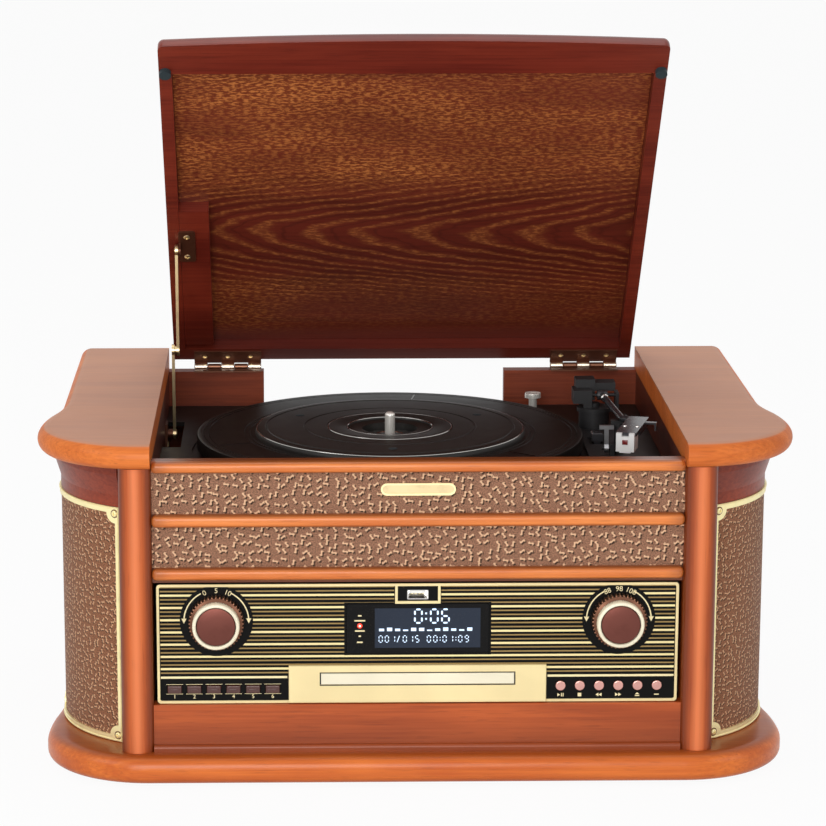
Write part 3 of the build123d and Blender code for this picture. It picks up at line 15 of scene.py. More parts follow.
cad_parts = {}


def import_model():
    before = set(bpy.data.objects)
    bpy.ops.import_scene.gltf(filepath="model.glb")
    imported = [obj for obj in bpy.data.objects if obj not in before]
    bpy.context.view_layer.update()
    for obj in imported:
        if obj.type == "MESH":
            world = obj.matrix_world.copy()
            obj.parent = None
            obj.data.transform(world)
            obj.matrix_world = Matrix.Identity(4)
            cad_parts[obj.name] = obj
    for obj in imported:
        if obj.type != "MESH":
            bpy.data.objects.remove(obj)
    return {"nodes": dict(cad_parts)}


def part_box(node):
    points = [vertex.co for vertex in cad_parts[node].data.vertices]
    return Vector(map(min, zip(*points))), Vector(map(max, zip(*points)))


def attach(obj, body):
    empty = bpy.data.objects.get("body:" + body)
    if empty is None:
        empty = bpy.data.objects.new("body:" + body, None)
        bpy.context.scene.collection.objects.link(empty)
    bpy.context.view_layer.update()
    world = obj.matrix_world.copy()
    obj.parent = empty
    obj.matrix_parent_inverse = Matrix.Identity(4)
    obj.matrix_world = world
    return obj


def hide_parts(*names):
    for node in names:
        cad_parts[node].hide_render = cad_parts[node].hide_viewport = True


log = logging.getLogger("music_centre")

MM = 0.001
SMOOTH_ANGLE = math.radians(35)
MERGE_REACH = 2e-6
FEW_SIDES, SOME_SIDES, MANY_SIDES = 28, 32, 96

Colour = tuple[float, float, float]
Point = Sequence[float]
Outline = Sequence[tuple[float, float]]
Piece = bpy.types.Object
Value = Union["Signal", bpy.types.NodeSocket, float, Point]


def tone(red: int, green: int, blue: int) -> Colour:
    """Turns an 8-bit display colour into the linear colour that shaders take.

    Args:
        red: Display red, 0 to 255.
        green: Display green.
        blue: Display blue.

    Returns:
        The linear red, green and blue.
    """
    shares = (level / 255 for level in (red, green, blue))
    return tuple(share / 12.92 if share <= 0.04045 else ((share + 0.055) / 1.055) ** 2.4 for share in shares)


def scaled(colour: Colour, share: float) -> Colour:
    """Makes a colour darker or paler by a share, up to white."""
    return tuple(min(1.0, share * level) for level in colour)


def at(x: float, y: float, z: float) -> Vector:
    """Gives a place in metres from millimetres."""
    return Vector((x * MM, y * MM, z * MM))


class Facing(Enum):
    """Which way a piece that was made upright points, as a turn in degrees about an axis."""

    UP = (0, "X")
    DOWN = (180, "X")
    FRONT = (90, "X")
    BACK = (-90, "X")
    RIGHT = (90, "Y")


def spin(degrees: float, axis: str) -> Matrix:
    """Turns a piece about one of the frame's axes."""
    return Matrix.Rotation(math.radians(degrees), 4, axis)


def stand(x: float, y: float, z: float, facing: Facing = Facing.UP) -> Matrix:
    """Puts a piece that was made upright on the origin at a place in millimetres, pointing one way."""
    return Matrix.Translation(at(x, y, z)) @ spin(*facing.value)


# ---------------------------------------------------------------- shader trees


def sign(operation: str) -> Callable[..., Signal]:
    """Gives the method behind a Python sign: it adds one Math node with its own value first."""
    return lambda value, *others: value.tree.maths(operation, value, *others)


class Signal:
    """A shader value. Python's own signs work on it, and each of them adds one Math node."""

    def __init__(self, tree: Tree, socket: bpy.types.NodeSocket) -> None:
        """Remembers an output and the tree that it is in."""
        self.tree = tree
        self.socket = socket

    __add__ = sign("ADD")
    __sub__ = sign("SUBTRACT")
    __mul__ = sign("MULTIPLY")
    __truediv__ = sign("DIVIDE")
    __pow__ = sign("POWER")
    __lt__ = sign("LESS_THAN")
    __gt__ = sign("GREATER_THAN")
    __abs__ = sign("ABSOLUTE")
    __round__ = sign("ROUND")

    def __rsub__(self, other: float) -> Signal:
        """Takes this value from a number."""
        return self.tree.maths("SUBTRACT", other, self)

    def step(self, low: float, high: float, start: float = 0.0, end: float = 1.0) -> Signal:
        """Maps a range smoothly onto another.

        Args:
            low: Where the change starts.
            high: Where it ends.
            start: The result at low.
            end: The result at high.

        Returns:
            The mapped value.
        """
        made = self.tree.node("MapRange", {0: self, 1: low, 2: high, 3: start, 4: end},
                              interpolation_type="SMOOTHSTEP")
        return Signal(self.tree, made.outputs[0])


class Tree:
    """Builds shader nodes in a material, a world or a node group with short calls."""

    def __init__(self, nodes: bpy.types.NodeTree) -> None:
        """Starts on a tree and empties it."""
        self.tree = nodes
        nodes.nodes.clear()

    def node(self, kind: str, inputs: dict[str | int, Value] | None = None,
             **settings: object) -> bpy.types.Node:
        """Adds one node.

        Args:
            kind: Blender's node type, without its ShaderNode prefix.
            inputs: Socket names or numbers, with what each is fed.
            **settings: The node's own properties.

        Returns:
            The new node.
        """
        made = self.tree.nodes.new(kind if kind.startswith("Node") else f"ShaderNode{kind}")
        for name, value in settings.items():
            setattr(made, name, value)
        for name, value in (inputs or {}).items():
            self.feed(made.inputs[name], value)
        return made

    def feed(self, socket: bpy.types.NodeSocket, value: Value) -> None:
        """Links an output to a socket, or sets the socket's own value.

        Args:
            socket: The input socket.
            value: A signal, an output socket, a number, a vector or a colour.
        """
        source = value.socket if isinstance(value, Signal) else value
        if isinstance(source, bpy.types.NodeSocket):
            self.tree.links.new(source, socket)
        elif socket.type == "RGBA":
            socket.default_value = (*source, 1.0)
        else:
            socket.default_value = source

    def maths(self, operation: str, *values: Value, clamp: bool = False) -> Signal:
        """Adds a Math node.

        Args:
            operation: The Math node's operation.
            *values: What its inputs are fed, in order.
            clamp: Whether the result is held between 0 and 1.

        Returns:
            Its result.
        """
        made = self.node("Math", dict(enumerate(values)), operation=operation, use_clamp=clamp)
        return Signal(self, made.outputs[0])

    def either(self, *shares: Value) -> Signal:
        """Adds masks up, to 1 at most.

        Args:
            *shares: The masks.

        Returns:
            The mask that covers them all.
        """
        total, *others = shares
        for share in others:
            total = self.maths("ADD", total, share, clamp=True)
        return total

    def vectors(self, operation: str, *values: Value) -> Signal:
        """Adds a Vector Math node and gives its vector."""
        return Signal(self, self.node("VectorMath", dict(enumerate(values)), operation=operation).outputs[0])

    def turned(self, vector: Value, angle: Value, axis: str) -> Signal:
        """Turns a vector about one axis by an angle in radians."""
        made = self.node("VectorRotate", {"Vector": vector, "Angle": angle}, rotation_type=f"{axis}_AXIS")
        return Signal(self, made.outputs[0])

    def parts(self, vector: Value) -> list[Signal]:
        """Splits a vector into its X, Y and Z."""
        return [Signal(self, socket) for socket in self.node("SeparateXYZ", {0: vector}).outputs]

    def noise(self, place: Value, scale: Value, detail: float, rough: float, bend: float = 0.0,
              squeeze: float = 1.0) -> Signal:
        """Adds a noise texture.

        Args:
            place: Where it is read.
            scale: Its scale, per metre.
            detail: Its number of octaves.
            rough: Its roughness.
            bend: How much it is bent.
            squeeze: The share that X counts for; under 1, the pattern is drawn out along X.

        Returns:
            The noise value, about 0.5.
        """
        if squeeze != 1.0:
            place = self.vectors("MULTIPLY", place, (squeeze, 1.0, 1.0))
        made = self.node("TexNoise", {"Vector": place, "Scale": scale, "Detail": detail, "Roughness": rough,
                                      "Distortion": bend})
        return Signal(self, made.outputs["Fac"])

    def blend(self, share: Value, first: Value, second: Value, kind: str = "RGBA") -> Signal:
        """Mixes two colours or vectors.

        Args:
            share: 0 for the first, 1 for the second.
            first: A colour or a signal.
            second: A colour or a signal.
            kind: RGBA for colours, VECTOR for vectors.

        Returns:
            The mix.
        """
        start, result = {"RGBA": (6, 2), "VECTOR": (4, 1)}[kind]
        made = self.node("Mix", {0: share, start: first, start + 1: second}, data_type=kind)
        return Signal(self, made.outputs[result])

    def group(self, tree: bpy.types.NodeTree, inputs: dict[str, Value]) -> dict[str, Signal]:
        """Places a node group.

        Args:
            tree: The group.
            inputs: What its inputs are fed, by name.

        Returns:
            Its outputs, by name.
        """
        made = self.node("Group", node_tree=tree)
        for name, value in inputs.items():
            self.feed(made.inputs[name], value)
        return {socket.name: Signal(self, socket) for socket in made.outputs}

    def seen(self) -> Signal:
        """Says where the camera, a gloss or a clear surface looks, and not a lamp's light."""
        rays = self.node("LightPath").outputs
        return self.either(rays["Is Camera Ray"], rays["Is Glossy Ray"], rays["Is Transmission Ray"])


class Group(Tree):
    """A shader node group with named inputs and outputs."""

    def __init__(self, name: str, **inputs: float | None) -> None:
        """Makes the group and its inputs.

        Args:
            name: The group's name.
            **inputs: Their names with their default numbers; None makes a vector.
        """
        super().__init__(bpy.data.node_groups.new(name, "ShaderNodeTree"))
        for label, default in inputs.items():
            kind = "NodeSocketVector" if default is None else "NodeSocketFloat"
            socket = self.tree.interface.new_socket(label, in_out="INPUT", socket_type=kind)
            if default is not None:
                socket.default_value = default
        entry = self.node("NodeGroupInput").outputs
        self.entry = [Signal(self, entry[label]) for label in inputs]

    def give(self, **results: Signal) -> bpy.types.NodeTree:
        """Makes the group's outputs, by name, and feeds them.

        Args:
            **results: What each output gives.

        Returns:
            The finished group.
        """
        for label in results:
            self.tree.interface.new_socket(label, in_out="OUTPUT", socket_type="NodeSocketFloat")
        self.node("NodeGroupOutput", results)
        return self.tree


class Patterns:
    """The node groups that several finishes share, each built once."""

    @staticmethod
    @cache
    def grain() -> bpy.types.NodeTree:
        """Straight wood grain along X.

        Returns:
            A group that gives the figure and the pores.
        """
        made = Group("wood_grain", Vector=None, Scale=30.0)
        place, scale = made.entry
        broad = made.noise(place, scale, 3.0, 0.55, 0.5, squeeze=0.16)
        streak = made.noise(place, 520.0, 3.0, 0.6, squeeze=0.02)
        fleck = made.noise(place, 900.0, 1.0, 0.4, squeeze=0.06)
        figure = broad * 0.62 + streak * 0.38
        return made.give(Figure=figure.step(0.34, 0.66), Pores=fleck.step(0.60, 0.74))

    @staticmethod
    @cache
    def cathedral() -> bpy.types.NodeTree:
        """Veneer with nested arches along X.

        Returns:
            A group that gives the arches' lines and cracks, and flecks and soft clouds.
        """
        made = Group("cathedral_veneer", Vector=None, Bend=34.0, Rings=27.0)
        place, bend, rings = made.entry
        warp = made.noise(place, 17.0, 4.0, 0.62, squeeze=0.35)
        x, y, _ = made.parts(place)
        phase = x - abs(y) ** 1.75 * bend + (warp - 0.5) * 0.12
        ring = made.maths("FRACT", phase * rings)
        line = ring.step(0.18, 0.38) * ring.step(0.44, 0.74, 1.0, 0.0)
        crack = ring.step(0.78, 0.84) * ring.step(0.86, 0.94, 1.0, 0.0)
        fleck = made.noise(place, 640.0, 2.0, 0.6, squeeze=0.34)
        cloud = made.noise(place, 26.0, 4.0, 0.6, squeeze=0.30)
        return made.give(Lines=line, Cracks=crack, Flecks=fleck.step(0.44, 0.62), Cloud=cloud.step(0.34, 0.66))

    @staticmethod
    @cache
    def squiggle() -> bpy.types.NodeTree:
        """Cloth with short raised S-shaped worms, each in its own cell and turned its own way.

        Returns:
            A group that gives the worms, the weave between them and their shadow.
        """
        made = Group("squiggle_cloth", Across=0.0, Up=0.0, Cells=160.0)
        across, up, cells = made.entry
        plain = made.node("CombineXYZ", {0: across, 1: up, 2: 0.0}).outputs[0]
        flat = made.node("VectorMath", {0: plain, "Scale": cells}, operation="SCALE").outputs[0]

        def worm(right: float, lower: float) -> Signal:
            """Draws the worms.

            Args:
                right: How far to the right, in cells; 0 for the worms, more for their shadow.
                lower: How far down.

            Returns:
                The mask of the worms there.
            """
            spot = made.vectors("ADD", flat, (-right, lower, 0.0))
            cell = made.node("TexVoronoi", {"Vector": spot, "Scale": 1.0, "Randomness": 0.62},
                             voronoi_dimensions="2D").outputs
            shade = Signal(made, made.node("SeparateColor", {0: cell["Color"]}).outputs[0])
            turn = round(shade * 8.0) * (math.pi / 4)
            x, y, _ = made.parts(made.turned(made.vectors("SUBTRACT", spot, cell["Position"]), turn, "Z"))
            wave = made.maths("SINE", x * 9.0) * 0.13
            return abs(y - wave).step(0.085, 0.185, 1.0, 0.0) * abs(x).step(0.27, 0.37, 1.0, 0.0)

        lit, cast = worm(0.0, 0.0), worm(0.15, 0.16)
        shadow = made.maths("SUBTRACT", cast, lit, clamp=True)
        return made.give(Worm=lit, Weave=made.noise(plain, 1250.0, 3.0, 0.65), Shadow=shadow)

    @staticmethod
    @cache
    def wear() -> bpy.types.NodeTree:
        """Soft uneven gloss with faint smears.

        Returns:
            A group that gives the roughness and the dust.
        """
        made = Group("handling_wear", Vector=None, Base=0.3, Spread=0.12)
        place, base, spread = made.entry
        smear = made.noise(place, 38.0, 4.0, 0.6, 0.6)
        dust = made.noise(place, 1400.0, 1.0, 0.5)
        return made.give(Roughness=base + (smear - 0.5) * spread, Dust=dust.step(0.64, 0.78))


class Skin(Tree):
    """A material with one surface shader, painted in the object's own coordinates."""

    def __init__(self, name: str) -> None:
        """Makes the material.

        Args:
            name: The material's name.
        """
        self.material = bpy.data.materials.new(name)
        self.material.use_nodes = True
        super().__init__(self.material.node_tree)
        self.shader = self.node("BsdfPrincipled")
        self.node("OutputMaterial", {"Surface": self.shader.outputs[0]})
        self.place = Signal(self, self.node("TexCoord").outputs["Object"])

    def surface(self, levels: dict[str, Value]) -> None:
        """Feeds or sets the surface shader's sockets by name."""
        for label, value in levels.items():
            self.feed(self.shader.inputs[label], value)

    def wear(self, base: float, spread: float = 0.10) -> Signal:
        """Lets the shared wear change the roughness.

        Args:
            base: The roughness where the surface is clean.
            spread: How much the smears change it.

        Returns:
            The mask of the dust.
        """
        made = self.group(Patterns.wear(), {"Vector": self.place, "Base": base, "Spread": spread})
        self.surface({"Roughness": made["Roughness"]})
        return made["Dust"]

    def emboss(self, height: Value, strength: float, reach: float) -> None:
        """Raises the surface by a height; strength is how much shows, reach what 1 stands for in metres."""
        self.surface({"Normal": self.node("Bump", {"Height": height, "Strength": strength,
                                                   "Distance": reach}).outputs[0]})


# ---------------------------------------------------------------- finishes


class Along(Enum):
    """The axis that a wooden piece's grain runs along, as the turn in degrees that puts it onto X."""

    X = (0.0, 0.0, 0.0)
    Y = (0.0, 0.0, -90.0)
    Z = (0.0, 90.0, 0.0)


@dataclass(frozen=True)
class Finish:
    """A named surface. Its material is made when it is first asked for, and then shared."""

    name: str
    slot: str

    def material(self) -> bpy.types.Material:
        """Gives the material, made once under the finish's name.

        Returns:
            The material.
        """
        found = bpy.data.materials.get(self.name)
        if found:
            return found
        skin = Skin(self.name)
        self.paint(skin)
        return skin.material

    def paint(self, skin: Skin) -> None:
        """Builds the surface; each kind of finish has its own."""
        raise NotImplementedError


@dataclass(frozen=True)
class Stain:
    """A band of painted light that comes in over a height, in metres: painted shade towards a deeper tone of the wood,
    or, with a tint of its own, a painted sheen.
    """

    start: float
    full: float
    share: float
    depth: float = 0.4
    tint: Colour | None = None


@dataclass(frozen=True)
class Wood(Finish):
    """Lacquered veneer with straight grain, which may lie level, with painted shade over one part and bands of painted
    shade and painted sheen up its height.
    """

    dark: Colour
    light: Colour
    along: Along = Along.X
    figure: float = 30.0
    rough: float = 0.46
    coat: float = 0.42
    level_inside: float = 0.0
    # dark_inside and dark_behind, in metres, say where painted shade darkens the wood: within that half-width of the
    # middle, or behind that depth.
    dark_inside: float = 0.0
    dark_behind: float = 0.0
    stains: tuple[Stain, ...] = ()

    def paint(self, skin: Skin) -> None:
        """Mixes the two wood colours by the grain, lays the bands of painted shade and painted sheen over them and
        sinks the pores.

        Args:
            skin: The material.
        """
        spots = skin.parts(skin.place)
        turn = tuple(math.radians(angle) for angle in self.along.value)
        lined: Value = skin.node("Mapping", {"Vector": skin.place, "Rotation": turn}).outputs[0]
        if self.level_inside:
            lined = skin.blend(abs(spots[0]) < self.level_inside, lined, skin.place, "VECTOR")
        grain = skin.group(Patterns.grain(), {"Vector": lined, "Scale": self.figure})
        colour = skin.blend(grain["Figure"], self.dark, self.light)
        colour = skin.blend(grain["Pores"] * 0.28, colour, scaled(self.dark, 0.5))
        # Painted shade: the well's inner walls and the rails' backing board behind the front, darkened as though out of
        # the light.
        if self.dark_inside or self.dark_behind:
            shaded_part = abs(spots[0]) < self.dark_inside if self.dark_inside else spots[1] > self.dark_behind
            colour = skin.blend(shaded_part, colour, skin.blend(grain["Figure"], tone(64, 24, 14), tone(88, 38, 24)))
        # Painted shade and painted sheen, in bands up the wood's height.
        for band in self.stains:
            mask = spots[2].step(band.start, band.full, 0.0, band.share)
            colour = skin.blend(mask, colour, band.tint or scaled(self.dark, band.depth))
        skin.wear(self.rough)
        skin.surface({"Base Color": self.stained(skin, spots, colour), "Specular IOR Level": 0.18,
                      "Coat Weight": self.coat, "Coat Roughness": 0.27})
        skin.emboss(1.0 - grain["Pores"], 0.12, 0.00015)

    def stained(self, skin: Skin, spots: list[Signal], colour: Signal) -> Signal:
        """Gives the colour as it is; a wood with painted shade and highlight for its shape has its own."""
        return colour


@dataclass(frozen=True)
class FrameWood(Wood):
    """The front frame's wood, with painted shade at the pilasters' edges and the apron's foot, and a painted highlight
    down each pilaster's middle.
    """

    middle: float = 0.18575
    inner: float = 0.175

    def stained(self, skin: Skin, spots: list[Signal], colour: Signal) -> Signal:
        """Paints shade at the pilasters' edges and the apron's foot, and a highlight down the pilasters' middles.

        Args:
            skin: The material.
            spots: The place's three parts.
            colour: The wood's colour.

        Returns:
            The shaded colour.
        """
        side = abs(spots[0])
        reach, outside = abs(side - self.middle), side > self.inner
        # Painted shade at the pilasters' edges and the apron's foot; pale is a painted highlight laid down each
        # pilaster's middle.
        edge = reach.step(0.0035, 0.0100, 0.0, 0.9) * outside
        foot = spots[2].step(0.056, 0.020, 0.0, 0.6) * (1.0 - outside)
        highlight_band = reach.step(0.0055, 0.0, 0.0, 0.75) * outside
        pale = (min(1.0, 1.5 * self.light[0]), 2.1 * self.light[1], 4.0 * self.light[2])
        return skin.blend(highlight_band, skin.blend(skin.either(edge, foot), colour, scaled(self.dark, 0.42)), pale)


@dataclass(frozen=True)
class RailWood(Wood):
    """The half-round rails' wood, with painted shade along both edges of each rail and at the ends."""

    middles: tuple[float, ...] = (0.1432, 0.1792, 0.21525)

    def stained(self, skin: Skin, spots: list[Signal], colour: Signal) -> Signal:
        """Paints shade on each rail from its middle to its edges, and at its ends.

        Args:
            skin: The material.
            spots: The place's three parts.
            colour: The wood's colour.

        Returns:
            The shaded colour.
        """
        reach: Value = 1.0
        for middle in self.middles:
            reach = skin.maths("MINIMUM", reach, abs(spots[2] - middle))
        # Painted shade: darker towards each rail's edges and towards the ends.
        ends = abs(spots[0]).step(0.160, 0.1745, 0.0, 0.5)
        return skin.blend(skin.maths("MAXIMUM", reach.step(0.0018, 0.0040, 0.0, 0.75), ends), colour,
                          scaled(self.dark, 0.35))


@dataclass(frozen=True)
class ArchedVeneer(Finish):
    """The lid's inner veneer: nested arches, with orange flecks above and below."""

    dark: Colour
    warm: Colour
    light: Colour
    centre: tuple[float, float, float]
    tilt: float

    def paint(self, skin: Skin) -> None:
        """Lays the arches on the tilted panel, with their axis along X.

        Args:
            skin: The material.
        """
        flat = skin.turned(skin.vectors("SUBTRACT", skin.place, self.centre), self.tilt, "X")
        veneer = skin.group(Patterns.cathedral(), {"Vector": flat})
        grain = skin.group(Patterns.grain(), {"Vector": flat, "Scale": 42.0})
        x, side, _ = skin.parts(flat)
        left = x.step(0.15, -0.10, 0.66, 1.0)
        clouds = veneer["Cloud"] * 0.65 + 0.35
        upper = side.step(0.030, 0.072) * clouds * left
        lower = side.step(-0.042, -0.062) * side.step(-0.122, -0.090) * clouds * left * 0.42
        fields = skin.either(upper, lower)
        rings = veneer["Lines"] * abs(side).step(0.055, 0.085, 1.0, 0.0) * (veneer["Flecks"] * 0.75 + 0.25)
        amount = skin.either(veneer["Flecks"] * fields * 0.9, rings * 0.42)
        base = skin.blend(grain["Figure"], scaled(self.dark, 0.8), scaled(self.dark, 1.25))
        warmed = skin.blend(fields * 0.5, base, self.warm)
        cracked = skin.blend(veneer["Cracks"] * 0.35, warmed, scaled(self.dark, 0.35))
        skin.wear(0.44)
        skin.surface({"Base Color": skin.blend(amount, cracked, self.light), "Specular IOR Level": 0.2,
                      "Coat Weight": 0.3, "Coat Roughness": 0.3})
        skin.emboss(amount, 0.10, 0.0001)


@dataclass(frozen=True)
class Cloth(Finish):
    """Loudspeaker cloth with raised worms; on a bay it follows the curve about an upright axis."""

    ground: Colour
    worm: Colour
    cells: float
    axis: tuple[float, float] | None = None
    radius: float = 0.0

    def paint(self, skin: Skin) -> None:
        """Runs the pattern along the cloth, flat or round its axis.

        Args:
            skin: The material.
        """
        across, y, up = skin.parts(skin.place)
        if self.axis is not None:
            across = skin.maths("ARCTAN2", y - self.axis[1], abs(across) - self.axis[0]) * self.radius
        cloth = skin.group(Patterns.squiggle(), {"Across": across, "Up": up, "Cells": self.cells})
        tint = skin.blend(cloth["Weave"].step(0.36, 0.64), scaled(self.ground, 0.5), scaled(self.ground, 1.4))
        shaded = skin.blend(cloth["Shadow"] * 0.95, tint, scaled(self.ground, 0.1))
        skin.surface({"Base Color": skin.blend(cloth["Worm"], shaded, self.worm),
                      "Roughness": 0.78 - cloth["Worm"] * 0.28, "Specular IOR Level": 0.2, "Sheen Weight": 0.08})
        skin.emboss(cloth["Worm"] + cloth["Weave"] * 0.35, 0.9, 0.0005)


@dataclass(frozen=True)
class Metal(Finish):
    """Polished or satin metal with faint brushing and smears."""

    colour: Colour
    rough: float
    dull: float = 0.0
    metal: float = 1.0

    def paint(self, skin: Skin) -> None:
        """Varies tone and gloss slightly over the metal.

        Args:
            skin: The material.
        """
        skin.wear(self.rough, 0.14)
        tarnish = skin.noise(skin.place, 90.0, 3.0, 0.6).step(0.45, 0.75, 0.0, 0.25 + self.dull)
        skin.surface({"Base Color": skin.blend(tarnish, self.colour, scaled(self.colour, 0.55)),
                      "Metallic": self.metal})
        skin.emboss(skin.noise(skin.place, 1600.0, 2.0, 0.6, squeeze=0.05), 0.05, 0.00005)


@dataclass(frozen=True)
class Plastic(Finish):
    """Moulded plastic or rubber, from gloss to matt, with a fine texture."""

    colour: Colour
    rough: float
    texture: float = 0.0
    coat: float = 0.0
    glow: float = 0.0
    shine: float = 0.5

    def paint(self, skin: Skin) -> None:
        """Gives the moulding its tone, dust and pebble texture.

        Args:
            skin: The material.
        """
        dust = skin.wear(self.rough, 0.12)
        drift = skin.noise(skin.place, 22.0, 2.0, 0.5).step(0.3, 0.7)
        toned = skin.blend(drift, scaled(self.colour, 0.9), self.colour)
        dusty = skin.blend(dust * 0.05, toned, tone(150, 140, 130))
        skin.surface({"Base Color": dusty, "Specular IOR Level": self.shine, "Coat Weight": self.coat})
        if self.glow:
            skin.surface({"Emission Color": dusty, "Emission Strength": self.glow})
        skin.emboss(skin.noise(skin.place, 2600.0, 2.0, 0.6), 0.04 + self.texture, 0.00012)


@dataclass(frozen=True)
class StripedPanel(Finish):
    """The black fascia with printed rules, one bright and then two duller; its sizes are in metres."""

    black: Colour
    bright: Colour
    dull: Colour
    knob: tuple[float, float]
    disc: float
    first: float = 0.07756
    pitch: float = 0.0083952 / 3
    dull_share: float = 0.17
    bright_extra: float = 0.09
    half_width: float = 0.1702
    low: float = 0.0735
    high: float = 0.1338
    window_half: float = 0.0486
    window_low: float = 0.0865
    window_high: float = 0.1226
    strip_inner: float = 0.0862
    strip_top: float = 0.0726
    tab_half: float = 0.0155
    tab_low: float = 0.1212

    def paint(self, skin: Skin) -> None:
        """Draws the rules, but not at the knobs, the display, the USB socket and the button strips.

        Args:
            skin: The material.
        """
        x, _, z = skin.parts(skin.place)
        side = abs(x)
        count = (z - self.first) / self.pitch
        third = round(count) / 3.0
        is_bright = abs(third - round(third)) < 0.1
        line = abs(count - round(count)) < is_bright * self.bright_extra + self.dull_share
        field_mask = (z > self.low) * (z < self.high) * (side < self.half_width)
        window = (side < self.window_half) * (z > self.window_low) * (z < self.window_high)
        strip = (side > self.strip_inner) * (z < self.strip_top)
        reach = skin.maths("SQRT", (side - self.knob[0]) ** 2.0 + (z - self.knob[1]) ** 2.0)
        tab = (side < self.tab_half) * (z > self.tab_low)
        shown = line * field_mask * (1.0 - skin.either(window, strip, reach < self.disc, tab))
        faded = skin.noise(skin.place, 300.0, 2.0, 0.5).step(0.3, 0.6)
        plain = skin.blend(faded, scaled(self.black, 0.9), self.black)
        ink = skin.blend(is_bright, self.dull, self.bright)
        skin.wear(0.32)
        skin.surface({"Base Color": skin.blend(shown, plain, ink), "Specular IOR Level": 0.1})
        skin.emboss(shown, 0.25, 0.0001)


# ---------------------------------------------------------------- modelling


